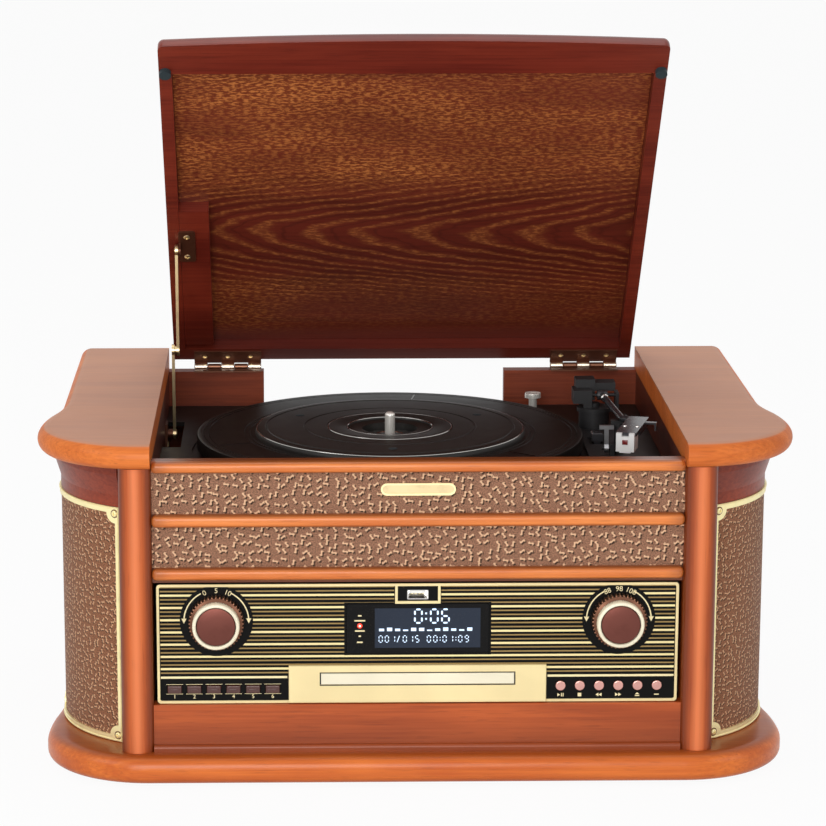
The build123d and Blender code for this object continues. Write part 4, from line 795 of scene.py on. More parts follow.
class Bench:
    """The modelling steps that several pieces share. Sizes come in millimetres."""

    @staticmethod
    def clear() -> None:
        """Leaves edit mode and deselects everything."""
        active = bpy.context.view_layer.objects.active
        if active is not None and active.mode != "OBJECT":
            bpy.ops.object.mode_set(mode="OBJECT")
        bpy.ops.object.select_all(action="DESELECT")

    @staticmethod
    def edit() -> None:
        """Enters edit mode with all of the active piece selected."""
        bpy.ops.object.mode_set(mode="EDIT")
        bpy.ops.mesh.select_all(action="SELECT")

    @staticmethod
    def only(piece: Piece) -> None:
        """Selects one piece and makes it active.

        Args:
            piece: The piece.
        """
        Bench.clear()
        piece.select_set(True)
        bpy.context.view_layer.objects.active = piece

    @staticmethod
    def settle(piece: Piece, name: str) -> Piece:
        """Puts a shape's place into its mesh, closes its seams and smooths it.

        Args:
            piece: The object as modelled.
            name: Its name from now on.

        Returns:
            The same object.
        """
        Bench.only(piece)
        bpy.ops.object.transform_apply(location=True, rotation=True, scale=True)
        Bench.edit()
        bpy.ops.mesh.remove_doubles(threshold=MERGE_REACH)
        bpy.ops.mesh.normals_make_consistent(inside=False)
        bpy.ops.object.mode_set(mode="OBJECT")
        bpy.ops.object.shade_smooth_by_angle(angle=SMOOTH_ANGLE)
        piece.name = piece.data.name = name
        return piece

    @staticmethod
    def place(piece: Piece, matrix: Matrix) -> Piece:
        """Moves a piece by its mesh, so that its object stays at the origin.

        Args:
            piece: The piece.
            matrix: The move.

        Returns:
            The same piece.
        """
        piece.data.transform(matrix)
        piece.data.update()
        return piece

    @staticmethod
    def join(pieces: Sequence[Piece], name: str) -> Piece:
        """Joins pieces into one.

        Args:
            pieces: What is joined; the first keeps its object.
            name: The result's name.

        Returns:
            The joined piece.
        """
        Bench.clear()
        for piece in pieces:
            piece.select_set(True)
        first = bpy.context.view_layer.objects.active = pieces[0]
        if len(pieces) > 1:
            bpy.ops.object.join()
        first.name = first.data.name = name
        return first

    @staticmethod
    def scatter(piece: Piece, name: str, spots: Sequence[Matrix]) -> Piece:
        """Copies a piece to every spot, joins the copies and removes the pattern.

        Args:
            piece: The piece, modelled once.
            name: The name of the joined copies.
            spots: Where each copy goes, from where the piece is.

        Returns:
            The joined copies.
        """
        made = []
        for spot in spots:
            twin = piece.copy()
            twin.data = piece.data.copy()
            bpy.context.collection.objects.link(twin)
            made.append(Bench.place(twin, spot))
        bpy.data.objects.remove(piece)
        return Bench.join(made, name)

    @staticmethod
    def block(name: str, low: Point, high: Point, edge: float, segments: int = 1) -> Piece:
        """Makes a block between two corners, with rounded edges.

        Args:
            name: The piece's name.
            low: Its lowest corner.
            high: Its highest corner.
            edge: The radius of every edge.
            segments: Steps in each rounded edge.

        Returns:
            The finished piece.
        """
        Bench.clear()
        bpy.ops.mesh.primitive_cube_add(size=MM, location=at(*[(a + b) / 2 for a, b in zip(low, high)]))
        piece = bpy.context.object
        piece.scale = [b - a for a, b in zip(low, high)]
        bpy.ops.object.transform_apply(location=False, rotation=False, scale=True)
        Bench.edit()
        bpy.ops.mesh.bevel(offset=edge * MM, segments=segments, profile=0.5, affect="EDGES")
        return Bench.settle(piece, name)

    @staticmethod
    def turned(name: str, profile: Outline, segments: int, closed: bool = False) -> Piece:
        """Turns a profile about the upright axis by extruding and resizing one ring.

        Args:
            name: The piece's name.
            profile: Radius and height of each ring.
            segments: Faces round the piece.
            closed: Whether the last ring runs back to the first, as on a hollow piece.

        Returns:
            The piece, standing on the origin.
        """
        Bench.clear()
        radius, height = profile[0]
        bpy.ops.mesh.primitive_circle_add(vertices=segments, radius=radius * MM, location=(0, 0, height * MM),
                                          fill_type="NOTHING" if closed else "NGON")
        Bench.edit()
        rings = [*profile[1:], profile[0]] if closed else profile[1:]
        for wide, high in rings:
            bpy.ops.mesh.extrude_region_move(TRANSFORM_OT_translate={"value": (0, 0, (high - height) * MM)})
            share = wide / radius
            bpy.ops.transform.resize(value=(share, share, 1), center_override=(0, 0, high * MM))
            radius, height = wide, high
        return Bench.settle(bpy.context.object, name)

    @staticmethod
    def prism(name: str, corners: Sequence[Point], reach: Point) -> Piece:
        """Extrudes a flat outline.

        Args:
            name: The piece's name.
            corners: The outline's corners, in order.
            reach: How far it is extruded along each axis.

        Returns:
            The finished piece.
        """
        Bench.clear()
        bpy.ops.mesh.primitive_circle_add(vertices=len(corners), radius=MM, fill_type="NGON")
        piece = bpy.context.object
        for vertex, corner in zip(piece.data.vertices, corners):
            vertex.co = at(*corner)
        Bench.edit()
        bpy.ops.mesh.extrude_region_move(TRANSFORM_OT_translate={"value": at(*reach)})
        return Bench.settle(piece, name)

    @staticmethod
    def flat(name: str, corners: Outline, face: float, rise: float = 0.15) -> Piece:
        """Makes a flat shape on the front from its corners in X and Z, standing out from a face."""
        return Bench.prism(name, [(x, face, z) for x, z in corners], (0, -rise, 0))

    @staticmethod
    def screws(name: str, radius: float, rise: float, spots: Sequence[Matrix]) -> Piece:
        """Makes domed screw heads with a sunk cross.

        Args:
            name: The name of the joined heads.
            radius: Radius of a head.
            rise: How far its dome stands out.
            spots: Where each head goes, from standing upright on the origin.

        Returns:
            The joined heads.
        """
        head = Bench.turned("screw_head", [(radius, -0.3), (radius, rise * 0.35), (radius * 0.9, rise * 0.72),
                                           (radius * 0.6, rise * 0.95), (radius * 0.2, rise)], FEW_SIDES)
        reach, slot = radius * 0.66, radius * 0.13
        for across, deep in ((reach, slot), (slot, reach)):
            Bench.carve(head, Bench.block("slot", (-across, -deep, rise * 0.3), (across, deep, rise + 0.5), 0.03))
        return Bench.scatter(Bench.settle(head, "screw_head"), name, spots)

    @staticmethod
    def carve(piece: Piece, cutter: Piece) -> None:
        """Cuts a closed shape out of a piece and removes the cutter.

        Args:
            piece: What is cut.
            cutter: What is taken out of it.
        """
        Bench.only(piece)
        cut = piece.modifiers.new("carve", "BOOLEAN")
        cut.operation, cut.solver, cut.object = "DIFFERENCE", "EXACT", cutter
        bpy.ops.object.modifier_apply(modifier=cut.name)
        bpy.data.objects.remove(cutter)

    @staticmethod
    def wire(name: str, stations: Sequence[Point], radius: float, sides: int) -> Piece:
        """Runs a round wire through places by extruding one ring along them.

        Args:
            name: The piece's name.
            stations: The places it passes, in order.
            radius: Its radius.
            sides: Faces round it.

        Returns:
            The finished piece, closed at both ends.
        """
        spots = [at(*station) for station in stations]
        Bench.clear()
        bpy.ops.mesh.primitive_circle_add(vertices=sides, radius=radius * MM, fill_type="NGON")
        piece = bpy.context.object
        heading = (spots[1] - spots[0]).normalized()
        Bench.place(piece, Matrix.Translation(spots[0]) @ Bench.towards(heading))
        Bench.edit()
        for before, spot, after in zip(spots, spots[1:], [*spots[2:], None]):
            bpy.ops.mesh.extrude_region_move(TRANSFORM_OT_translate={"value": spot - before})
            ahead = (spot - before) if after is None else (after - spot)
            facing = ((spot - before).normalized() + ahead.normalized()).normalized()
            turn = heading.rotation_difference(facing)
            bpy.ops.object.mode_set(mode="OBJECT")
            for vertex in piece.data.vertices:
                if vertex.select:
                    vertex.co = spot + turn @ (vertex.co - spot)
            bpy.ops.object.mode_set(mode="EDIT")
            heading = facing
        return Bench.settle(piece, name)

    @staticmethod
    def towards(heading: Vector) -> Matrix:
        """Turns an upright piece so that it points along a heading."""
        return Vector((0, 0, 1)).rotation_difference(heading).to_matrix().to_4x4()

    @staticmethod
    def numerals(name: str, text: str, height: float, middle: Point, tilt: float = 0.0) -> Piece:
        """Writes numbers that face the front.

        Args:
            name: The piece's name.
            text: The numbers.
            height: The height of a figure.
            middle: The middle of the writing, on the face that it stands on.
            tilt: Turn about the axis to the front, in degrees.

        Returns:
            The finished piece.
        """
        figure_share, rise = 0.7, 0.12
        Bench.clear()
        bpy.ops.object.text_add(location=(0, 0, 0))
        piece = bpy.context.object
        piece.data.body = text
        piece.data.size = height * MM / figure_share
        piece.data.align_x = piece.data.align_y = "CENTER"
        piece.data.extrude = rise * MM
        bpy.ops.object.convert(target="MESH")
        Bench.place(piece, stand(*middle) @ spin(-tilt, "Y") @ spin(90, "X"))
        return Bench.settle(piece, name)

    @staticmethod
    def arc(name: str, radius: float, start: float, end: float, width: float, centre: Point,
            rise: float = 0.15) -> Piece:
        """Spins a flat strip round a point on the front.

        Args:
            name: The piece's name.
            radius: Middle radius of the strip.
            start: First angle in degrees, from +X towards +Z.
            end: Last angle.
            width: The strip's width.
            centre: The centre, on the face that it stands on.
            rise: How far it stands out.

        Returns:
            The finished piece.
        """
        x, y, z = centre
        angle = math.radians(start)
        Bench.clear()
        bpy.ops.mesh.primitive_cube_add(size=MM, location=(0, 0, 0))
        piece = bpy.context.object
        piece.scale = (width, rise, width * 0.2)
        bpy.ops.object.transform_apply(location=False, rotation=False, scale=True)
        Bench.place(piece, stand(x, y - rise / 2, z) @ spin(-start, "Y") @ stand(radius, 0, 0))
        bpy.ops.object.mode_set(mode="EDIT")
        bpy.ops.mesh.select_all(action="DESELECT")
        bpy.ops.object.mode_set(mode="OBJECT")
        along = Vector((-math.sin(angle), 0, math.cos(angle)))
        for side in piece.data.polygons:
            side.select = side.normal.dot(along) > 0.9
        bpy.ops.object.mode_set(mode="EDIT")
        bpy.ops.mesh.spin(steps=max(6, int(abs(end - start) / 4)), angle=math.radians(end - start), center=at(x, y, z),
                          axis=(0, 1, 0))
        return Bench.settle(piece, name)


# ---------------------------------------------------------------- finishes of this piece

PLINTH_TOP, ARM_TOP = 0.0214, 0.2318
# Painted shade: the plinth darkens up to its flat top and down to its foot.
PLINTH_WOOD = Wood("wood_plinth", "satin_wood", tone(194, 90, 28), tone(226, 120, 44),
                   stains=(Stain(PLINTH_TOP - 0.0035, PLINTH_TOP, 0.62), Stain(0.010, 0.003, 0.45)))
# Painted shade under the arms' rounded edge, and a painted sheen, a pale reflection, over their flat tops.
ARM_WOOD = Wood("wood_arms", "satin_wood", tone(200, 100, 40), tone(228, 126, 56), rough=0.56, coat=0.15,
                stains=(Stain(ARM_TOP - 0.0125, ARM_TOP - 0.0195, 0.5, 0.35),
                        Stain(ARM_TOP - 0.0012, ARM_TOP - 0.0002, 0.66, tint=(0.53, 0.33, 0.235))))
FRAME_WOOD = FrameWood("wood_frame", "satin_wood", tone(160, 68, 22), tone(198, 94, 38), Along.Z, level_inside=0.175)
# Painted shade darkens the well's inner walls.
SIDE_WOOD = Wood("wood_sides", "satin_wood", tone(138, 56, 24), tone(176, 82, 38), Along.Y, dark_inside=0.176)
# Painted shade darkens the rails' backing board behind the front, and each rail's edges and ends.
RAIL_WOOD = RailWood("wood_rails", "satin_wood", tone(204, 104, 40), tone(236, 138, 64), coat=0.6,
                     dark_behind=-0.1515)
DARK_WOOD = Wood("wood_frieze", "dark_wood", tone(108, 38, 20), tone(146, 60, 34), figure=22.0, coat=0.3)
# Painted shade: the lid's wood darkens towards its lower part.
LID_WOOD = Wood("wood_lid", "satin_wood", tone(94, 27, 17), tone(126, 45, 28), coat=0.4,
                stains=(Stain(0.275, 0.232, 0.55),))
BACK_WOOD = Wood("wood_back", "raw_board", tone(104, 44, 26), tone(138, 62, 36), rough=0.6, coat=0.1)
RAW_BOARD = Wood("board_raw", "raw_board", tone(150, 118, 82), tone(186, 152, 110), rough=0.75, coat=0.0)
GILT = Metal("metal_gilt", "gilt", tone(255, 242, 184), 0.36, metal=0.5)
BRASS = Metal("metal_brass", "gilt", tone(226, 204, 158), 0.32, 0.15)
# A dark bronze; on the hinge leaves and the grille screws' seats it is partly painted shade.
BRONZE = Metal("metal_bronze", "gilt", tone(104, 62, 44), 0.45, 0.3, metal=0.7)
KNUCKLE = Metal("metal_knuckle", "gilt", tone(255, 246, 226), 0.3)
CHROME = Metal("metal_chrome", "steel", tone(225, 222, 218), 0.12)
SATIN_CHROME = Metal("metal_satin_chrome", "steel", tone(232, 228, 220), 0.26, metal=0.45)
STEEL = Metal("metal_steel", "steel", tone(176, 176, 178), 0.34)
EDGE_SHINE = Metal("metal_platter_edge", "steel", tone(176, 174, 170), 0.2)
COPPER = Metal("metal_copper_knurl", "brown_plastic", tone(124, 86, 68), 0.36)
CAP_BROWN = Metal("metal_cap_mauve", "brown_plastic", tone(114, 68, 60), 0.3)
BUTTON_ROSE = Metal("metal_button_rose", "button_plastic", tone(220, 166, 156), 0.24)
KEY_BROWN = Plastic("plastic_key_brown", "button_plastic", tone(74, 34, 26), 0.3, coat=0.3)
SATIN_BLACK = Plastic("plastic_satin_black", "black_plastic", tone(34, 32, 30), 0.42, 0.02, shine=0.22)
BLACK_DECK = Plastic("plastic_deck", "black_plastic", tone(25, 21, 19), 0.4, 0.12, shine=0.1)
BLACK_GLOSS = Plastic("plastic_gloss_black", "black_plastic", tone(14, 13, 13), 0.16, shine=0.14)
MATT_BLACK = Plastic("plastic_matt_black", "dark_plastic", tone(36, 35, 36), 0.5, 0.2, shine=0.3)
ARM_GREY = Plastic("plastic_arm_grey", "dark_plastic", tone(52, 51, 54), 0.26)
RUBBER = Plastic("rubber_teal_black", "rubber_black", tone(44, 56, 60), 0.55, 0.1, shine=0.25)
CREAM = Plastic("plastic_cream", "cream_plastic", tone(250, 230, 172), 0.36)
PALE_CREAM = Plastic("plastic_pale_cream", "cream_plastic", tone(250, 242, 214), 0.34)
CREAM_INK = Plastic("ink_cream", "cream_plastic", tone(252, 236, 184), 0.5)
WHITE_PART = Plastic("plastic_white", "cream_plastic", tone(248, 247, 244), 0.3)
DARK_RED = Plastic("plastic_stylus_red", "brown_plastic", tone(120, 24, 26), 0.3)
BOARD_GREEN = Plastic("board_green", "board_green", tone(30, 84, 52), 0.4)
LCD_BLUE = Plastic("display_blue", "display_glass", tone(38, 46, 60), 0.24, glow=0.12, shine=0.2)
LCD_DIGIT = Plastic("display_digit", "display_glass", tone(206, 226, 250), 0.3, glow=0.7)
RED_LAMP = Plastic("lamp_red", "display_glass", tone(250, 60, 36), 0.25, glow=1.2)
LAMP_CORE = Plastic("lamp_core", "display_glass", tone(255, 214, 200), 0.25, glow=1.4)
BAY_CLOTH = Cloth("cloth_bay", "grille_cloth", tone(142, 95, 68), tone(218, 170, 130), 250.0, (0.1526, -0.0595), 0.0874)
STRIP_CLOTH = Cloth("cloth_strip", "grille_cloth", tone(148, 107, 84), tone(230, 186, 148), 180.0)

HINGE_Y, HINGE_Z, OPEN_ANGLE = 166.0, 218.4, 49.2
LID_PLANE = stand(0, HINGE_Y, HINGE_Z) @ spin(-OPEN_ANGLE, "X")
ARCH_REACH = 137.0
OPEN_TURN = math.radians(OPEN_ANGLE)
ARCH_CENTRE = at(0.0, HINGE_Y - ARCH_REACH * math.cos(OPEN_TURN), HINGE_Z + ARCH_REACH * math.sin(OPEN_TURN))
LID_VENEER = ArchedVeneer("veneer_arched", "lid_veneer", tone(98, 36, 24), tone(140, 66, 34), tone(204, 126, 66),
                          tuple(ARCH_CENTRE), OPEN_TURN + math.pi)


@dataclass
class Assembly:
    """A part of the object: it dresses nodes of the frame and adds fine pieces of its own."""

    nodes: dict[str, Piece]
    made: list[str] = field(default_factory=list, init=False)

    def build(self) -> None:
        """Dresses the nodes and makes the pieces; each sub-assembly has its own."""
        raise NotImplementedError

    def dress(self, finish: Finish, *names: str) -> None:
        """Gives nodes of the frame a finish on their objects' own slots.

        Args:
            finish: What they get.
            *names: Which of them.
        """
        for node in (self.nodes[name] for name in names):
            if not node.material_slots:
                node.data.materials.append(None)
            for slot in node.material_slots:
                slot.link = "OBJECT"
                slot.material = finish.material()

    def add(self, piece: Piece, finish: Finish, body: str = "cabinet", *stands_for: str) -> None:
        """Gives a new piece its material, slot and body, and hides the nodes of the frame that it replaces.

        Args:
            piece: The modelled piece.
            finish: Its finish.
            body: The body that it rides on.
            *stands_for: Nodes of the frame that it replaces.
        """
        piece.data.materials.clear()
        piece.data.materials.append(finish.material())
        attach(piece, body)
        if stands_for:
            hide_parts(*stands_for)
        self.made.append(piece.name)

    @staticmethod
    def front_of(node: str) -> float:
        """The front face of a node, in millimetres along Y."""
        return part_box(node)[0].y / MM


@dataclass
class Cabinet(Assembly):
    """The wooden case: plinth, sides, arms, front frame, rails and the boards inside."""

    pilaster_middle: float = 185.75
    pilaster_half: float = 10.7
    pilaster_seat: float = -149.0
    pilaster_bulge: float = 11.2
    pilaster_fullness: float = 0.55
    pilaster_low: float = 21.6
    pilaster_high: float = 215.2
    pilaster_steps: int = 24
    screw_radius: float = 3.0
    screw_rise: float = 0.7
    screw_sink: float = 0.75
    screw_columns: tuple[float, ...] = (-218, -74, 74, 218)
    screw_rows: tuple[float, ...] = (34, 176)

    def build(self) -> None:
        """Dresses the case, rounds its pilasters and screws its back board on."""
        for finish, name in ((PLINTH_WOOD, "plinth"), (ARM_WOOD, "arm_tops"), (SIDE_WOOD, "cabinet_sides"),
                             (FRAME_WOOD, "front_frame"), (RAIL_WOOD, "front_rails"), (BACK_WOOD, "back_board"),
                             (DARK_WOOD, "friezes"), (RUBBER, "rubber_feet"), (STRIP_CLOTH, "front_cloths"),
                             (RAW_BOARD, "speaker_baffles"), (MATT_BLACK, "speaker_drivers")):
            self.dress(finish, name)
        self.pilaster_faces()
        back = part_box("back_board")[1].y / MM - self.screw_sink
        spots = [stand(x, back, z, Facing.BACK) for x in self.screw_columns for z in self.screw_rows]
        self.add(Bench.screws("back_screws", self.screw_radius, self.screw_rise, spots), STEEL)

    def pilaster_faces(self) -> None:
        """Rounds the fronts of the two pilasters over their whole width."""
        made = []
        for side in (-1, 1):
            turns = [math.pi * step / self.pilaster_steps for step in range(self.pilaster_steps + 1)]
            corners = [(side * (self.pilaster_middle - self.pilaster_half * math.cos(turn)), self.pilaster_seat
                        - self.pilaster_bulge * math.sin(turn) ** self.pilaster_fullness, self.pilaster_low)
                       for turn in turns]
            made.append(Bench.prism("pilaster_face", corners, (0, 0, self.pilaster_high - self.pilaster_low)))
        self.add(Bench.join(made, "pilaster_faces"), FRAME_WOOD)


@dataclass
class LoudspeakerBays(Assembly):
    """The bowed corner bays: curved cloth, gilt frame with a raised bead, and screws."""

    centre_x: float = 152.6
    centre_y: float = -59.5
    radius: float = 88.6
    start: float = -60.4
    end: float = 8.0
    low: float = 22.0
    high: float = 183.8
    lobe_step: float = 4.34
    bead: float = 0.9
    bead_inset: float = 1.2
    bead_sides: int = 10
    bead_steps: int = 30
    screw_radius: float = 2.1
    screw_rise: float = 1.15

    def spot(self, angle: float, height: float, side: int) -> Matrix:
        """The place and turn of an upright piece that points out of a bay.

        Args:
            angle: Degrees round the bay from +X, on the right-hand bay.
            height: Height above the floor.
            side: 1 for the right-hand bay, -1 for the left-hand one.

        Returns:
            The matrix that puts it there.
        """
        turn = math.radians(angle)
        x = side * (self.centre_x + self.radius * math.cos(turn))
        y = self.centre_y + self.radius * math.sin(turn)
        return stand(x, y, height) @ spin(angle if side > 0 else 180 - angle, "Z") @ spin(90, "Y")

    def build(self) -> None:
        """Dresses the bays and adds the beads and the cross-head screws with their seats, whose dark bronze is partly
        painted shade for the recess round each screw.
        """
        self.dress(BAY_CLOTH, "grille_cloths")
        self.dress(GILT, "grille_frames")
        self.beads()
        lobe = math.degrees(self.lobe_step / self.radius)
        spots = [self.spot(angle, height, side) for side in (-1, 1)
                 for angle in (self.start + lobe, self.end - lobe)
                 for height in (self.low + self.lobe_step, self.high - self.lobe_step)]
        heads = Bench.screws("grille_screw_heads", self.screw_radius, self.screw_rise, spots)
        self.add(heads, GILT, "cabinet", "grille_screws")
        # The seat rings are partly real and partly painted shade: dark bronze for the shaded recess round each screw.
        inner, outer = self.screw_radius + 0.1, self.screw_radius + 0.75
        seat = Bench.turned("seat", [(inner, -0.2), (inner, 0.12), (outer, 0.12), (outer, -0.2)], FEW_SIDES,
                            closed=True)
        self.add(Bench.scatter(seat, "grille_screw_shaded_seats", spots), BRONZE)

    def beads(self) -> None:
        """Runs a thin raised bead round the outer edge of each gilt frame."""
        made = []
        radius, low, high = self.bead / 2, self.low + self.bead, self.high - self.bead
        first, last = self.start + self.bead_inset, self.end - self.bead_inset
        for side in (-1, 1):
            for level in (low, high):
                Bench.clear()
                bpy.ops.mesh.primitive_circle_add(vertices=self.bead_sides, radius=radius * MM, fill_type="NOTHING")
                ring = Bench.place(bpy.context.object, self.spot(first, level, side) @ spin(90, "X"))
                Bench.edit()
                bpy.ops.mesh.spin(steps=self.bead_steps, angle=-side * math.radians(last - first), axis=(0, 0, 1),
                                  center=at(side * self.centre_x, self.centre_y, level))
                made.append(Bench.settle(ring, "bead_part"))
            for angle in (first, last):
                post = Bench.turned("bead_part", [(radius, low), (radius, high)], self.bead_sides)
                made.append(Bench.place(post, Matrix.Translation(self.spot(angle, 0, side).translation)))
        self.add(Bench.join(made, "grille_beads"), GILT)


def bar(left: float, right: float, low: float, high: float) -> Outline:
    """The outline of an upright rectangle, in X and Z."""
    return [(left, low), (left, high), (right, high), (right, low)]


def arrow(base: float, tip: float) -> Outline:
    """The outline of a sideways arrowhead, in X and Z."""
    return [(base, -1.2), (base, 1.2), (tip, 0)]


ROUND_SIGNS = (
    (arrow(-1.9, -0.1), bar(0.5, 1.1, -1.2, 1.2), bar(1.6, 2.2, -1.2, 1.2)), (bar(-1.2, 1.2, -1.2, 1.2),),
    (arrow(-0.2, -2.2), arrow(1.9, -0.1)), (arrow(0.2, 2.2), arrow(-1.9, 0.1)),
    ([(-1.5, 0), (0, 1.4), (1.5, 0)], bar(-1.5, 1.5, -1.2, -0.6)), (bar(-1.6, 1.6, -0.35, 0.35),))


@dataclass
class Fascia(Assembly):
    """The striped front plate with its prints, frames and sockets."""

    knob_x: float = 133.0
    knob_z: float = 110.5
    disc_radius: float = 24.2
    arrow_radius: float = 21.4
    arrow_width: float = 0.85
    arrow_sweeps: tuple[tuple[float, float], ...] = ((4, 62), (176, 118))
    arrow_head: tuple[float, float] = (1.7, 3.4)
    arrow_drop: float = 1.6
    scale_radius: float = 20.6
    scale_height: float = 3.4
    scale_angles: tuple[float, float, float] = (112, 90, 68)
    face: float = -151.5
    disc_face: float = -151.9
    strip_inner: float = 86.4
    strip_outer: float = 170.2
    strip_low: float = 70.9
    strip_high: float = 72.4
    key_middle: float = -128.6
    key_pitch: float = 13.0
    key_z: float = 63.6
    key_frame: tuple[float, float] = (5.55, 3.45)
    round_middle: float = 127.0
    round_pitch: float = 12.8
    rule_height: float = 0.3
    print_rise: float = 0.15
    print_sink: float = 0.05
    label_z: float = 58.4
    label_height: float = 2.7
    tongue: tuple[float, float, float] = (5.2, 128.4, 130.2)
    tongue_depths: tuple[float, float] = (1.2, 12.0)
    contacts: tuple[float, ...] = (-3.6, -1.2, 1.2, 3.6)
    contact_half: float = 0.6
    contact_height: float = 0.5

    @staticmethod
    def columns(middle: float, pitch: float) -> list[float]:
        """Gives the six places of a row of buttons."""
        return [middle + (number - 2.5) * pitch for number in range(6)]

    def build(self) -> None:
        """Dresses the plate, makes its prints and fits the socket's inside."""
        panel = StripedPanel("panel_striped", "black_plastic", tone(11, 10, 9), tone(250, 232, 172),
                             tone(158, 132, 84), (self.knob_x * MM, self.knob_z * MM), self.disc_radius * MM)
        self.dress(panel, "fascia_panel")
        self.dress(CREAM, "fascia_trim")
        self.dress(CHROME, "usb_socket")
        self.add(Bench.join(self.arrows() + self.rules() + self.legends(), "fascia_prints"), CREAM_INK)
        half, low, high = self.tongue
        front, back = (self.face + depth for depth in self.tongue_depths)
        self.add(Bench.block("socket_tongue", (-half, front, low), (half, back, high), 0.2, 2), WHITE_PART)
        pads = [Bench.block("contact", (x - self.contact_half, front - 0.2, low + 0.1 - self.contact_height),
                            (x + self.contact_half, back - 3.0, low + 0.1), 0.08) for x in self.contacts]
        self.add(Bench.join(pads, "socket_contacts"), GILT)

    def arrows(self) -> list[Piece]:
        """Makes the two arcs with arrowheads and the numbers round each knob.

        Returns:
            The prints.
        """
        made = []
        half, length = self.arrow_head
        for side, figures in ((-1, ("0", "5", "10")), (1, ("88", "98", "108"))):
            x = side * self.knob_x
            for start, end in self.arrow_sweeps:
                made.append(Bench.arc("arrow_arc", self.arrow_radius, start, end, self.arrow_width,
                                      (x, self.disc_face, self.knob_z)))
            for tip in (x - self.arrow_radius, x + self.arrow_radius):
                low = self.knob_z - self.arrow_drop
                made.append(Bench.flat("arrow_head", [(tip - half, low + length), (tip, low),
                                                      (tip + half, low + length)], self.disc_face))
            for angle, figure in zip(self.scale_angles, figures):
                turn = math.radians(angle)
                middle = (x + self.scale_radius * math.cos(turn), self.disc_face,
                          self.knob_z + self.scale_radius * math.sin(turn))
                made.append(Bench.numerals("scale_number", figure, self.scale_height, middle, angle - 90))
        return made

    def rules(self) -> list[Piece]:
        """Makes the cream rule over each row of buttons and the two rules at each key.

        Returns:
            The prints.
        """
        made = []
        for low, high in ((-self.strip_outer, -self.strip_inner), (self.strip_inner, self.strip_outer)):
            made.append(Bench.block("strip_rule", (low, self.face - self.print_rise, self.strip_low),
                                    (high, self.face + self.print_sink, self.strip_high), 0.05))
        half_w, half_h = self.key_frame
        for x in self.columns(self.key_middle, self.key_pitch):
            for low in (self.key_z - half_h, self.key_z + half_h - self.rule_height):
                made.append(Bench.block("key_rule", (x - half_w, self.face - 0.8 * self.print_rise, low),
                                        (x + half_w, self.face + self.print_sink, low + self.rule_height), 0.04))
        return made

    def legends(self) -> list[Piece]:
        """Makes the numbers under the keys and the plain signs under the round buttons.

        Returns:
            The prints.
        """
        made = [Bench.numerals("key_number", str(number), self.label_height, (x, self.face, self.label_z))
                for number, x in enumerate(self.columns(self.key_middle, self.key_pitch), start=1)]
        for x, shapes in zip(self.columns(self.round_middle, self.round_pitch), ROUND_SIGNS):
            made += [Bench.flat("button_sign", [(x + dx, self.label_z + dz) for dx, dz in shape], self.face)
                     for shape in shapes]
        return made


@dataclass
class Buttons(Assembly):
    """The twelve push buttons: six keys, each with a raised line, and six round ones."""

    fascia: Fascia
    ridge: tuple[float, float] = (3.2, 0.35)

    def build(self) -> None:
        """Dresses the buttons and adds the keys' lines."""
        half_w, half_h = self.ridge
        z = self.fascia.key_z
        for number, x in enumerate(self.fascia.columns(self.fascia.key_middle, self.fascia.key_pitch), start=1):
            self.dress(KEY_BROWN, f"key_{number}")
            self.dress(BUTTON_ROSE, f"round_button_{number}")
            face = self.front_of(f"key_{number}")
            line = Bench.block(f"key_ridge_{number}", (x - half_w, face - 0.25, z - half_h),
                               (x + half_w, face + 0.2, z + half_h), 0.12, 2)
            self.add(line, KEY_BROWN, f"key_{number}_body")


@dataclass
class Knob(Assembly):
    """A turned knob: coppery knurled skirt, cream ring and a mauve cap."""

    name: str
    body: str
    spot: Matrix
    skirt_radius: float = 18.2
    ring_radius: float = 15.6
    ring_width: float = 2.6
    knurl_depth: float = 0.9
    knurls: int = 44

    def build(self) -> None:
        """Makes the three parts and lets them ride on the knob's body."""
        core, outer = self.skirt_radius - self.knurl_depth, self.ring_radius
        inner = outer - self.ring_width
        skirt = Bench.turned("core", [(core, 0.5), (core, 8.2), (outer, 9.6), (outer, 12.0)], 2 * self.knurls)
        knurls = Bench.scatter(Bench.block("knurl", (-0.62, -1.0, 0.6), (0.62, 0.9, 8.0), 0.42, 2), "knurls",
                               [spin(360 * number / self.knurls, "Z") @ stand(0, -core, 0)
                                for number in range(self.knurls)])
        ring = Bench.turned(f"{self.name}_ring", [
            (inner, 13.5), (inner + 0.3, 15.9), (inner + 0.9, 16.5), (outer - 1.0, 16.4), (outer - 0.3, 15.8),
            (outer, 15.0), (outer, 10.0), (inner, 10.0)], MANY_SIDES, closed=True)
        cap = Bench.turned(f"{self.name}_cap", [
            (inner - 0.05, 10.5), (inner - 0.05, 14.6), (inner - 0.5, 15.2), (inner - 3.0, 15.5), (inner - 6.0, 15.7),
            (3.0, 15.85), (0.6, 15.9)], MANY_SIDES)
        self.add(Bench.place(Bench.join([skirt, knurls], f"{self.name}_skirt"), self.spot), COPPER, self.body,
                 self.name)
        self.add(Bench.place(ring, self.spot), PALE_CREAM, self.body)
        self.add(Bench.place(cap, self.spot), CAP_BROWN, self.body)


LIT_BARS = {"0": "abcdef", "1": "bc", "2": "abged", "3": "abgcd", "4": "fgbc", "5": "afgcd", "6": "afgedc", "7": "abc",
            "8": "abcdefg", "9": "abcdfg"}
FLAT_BARS = {"a": 1.0, "g": 0.5, "d": 0.0}
UPRIGHT_BARS = {"f": (0, 0.5), "b": (1, 0.5), "e": (0, 0), "c": (1, 0)}


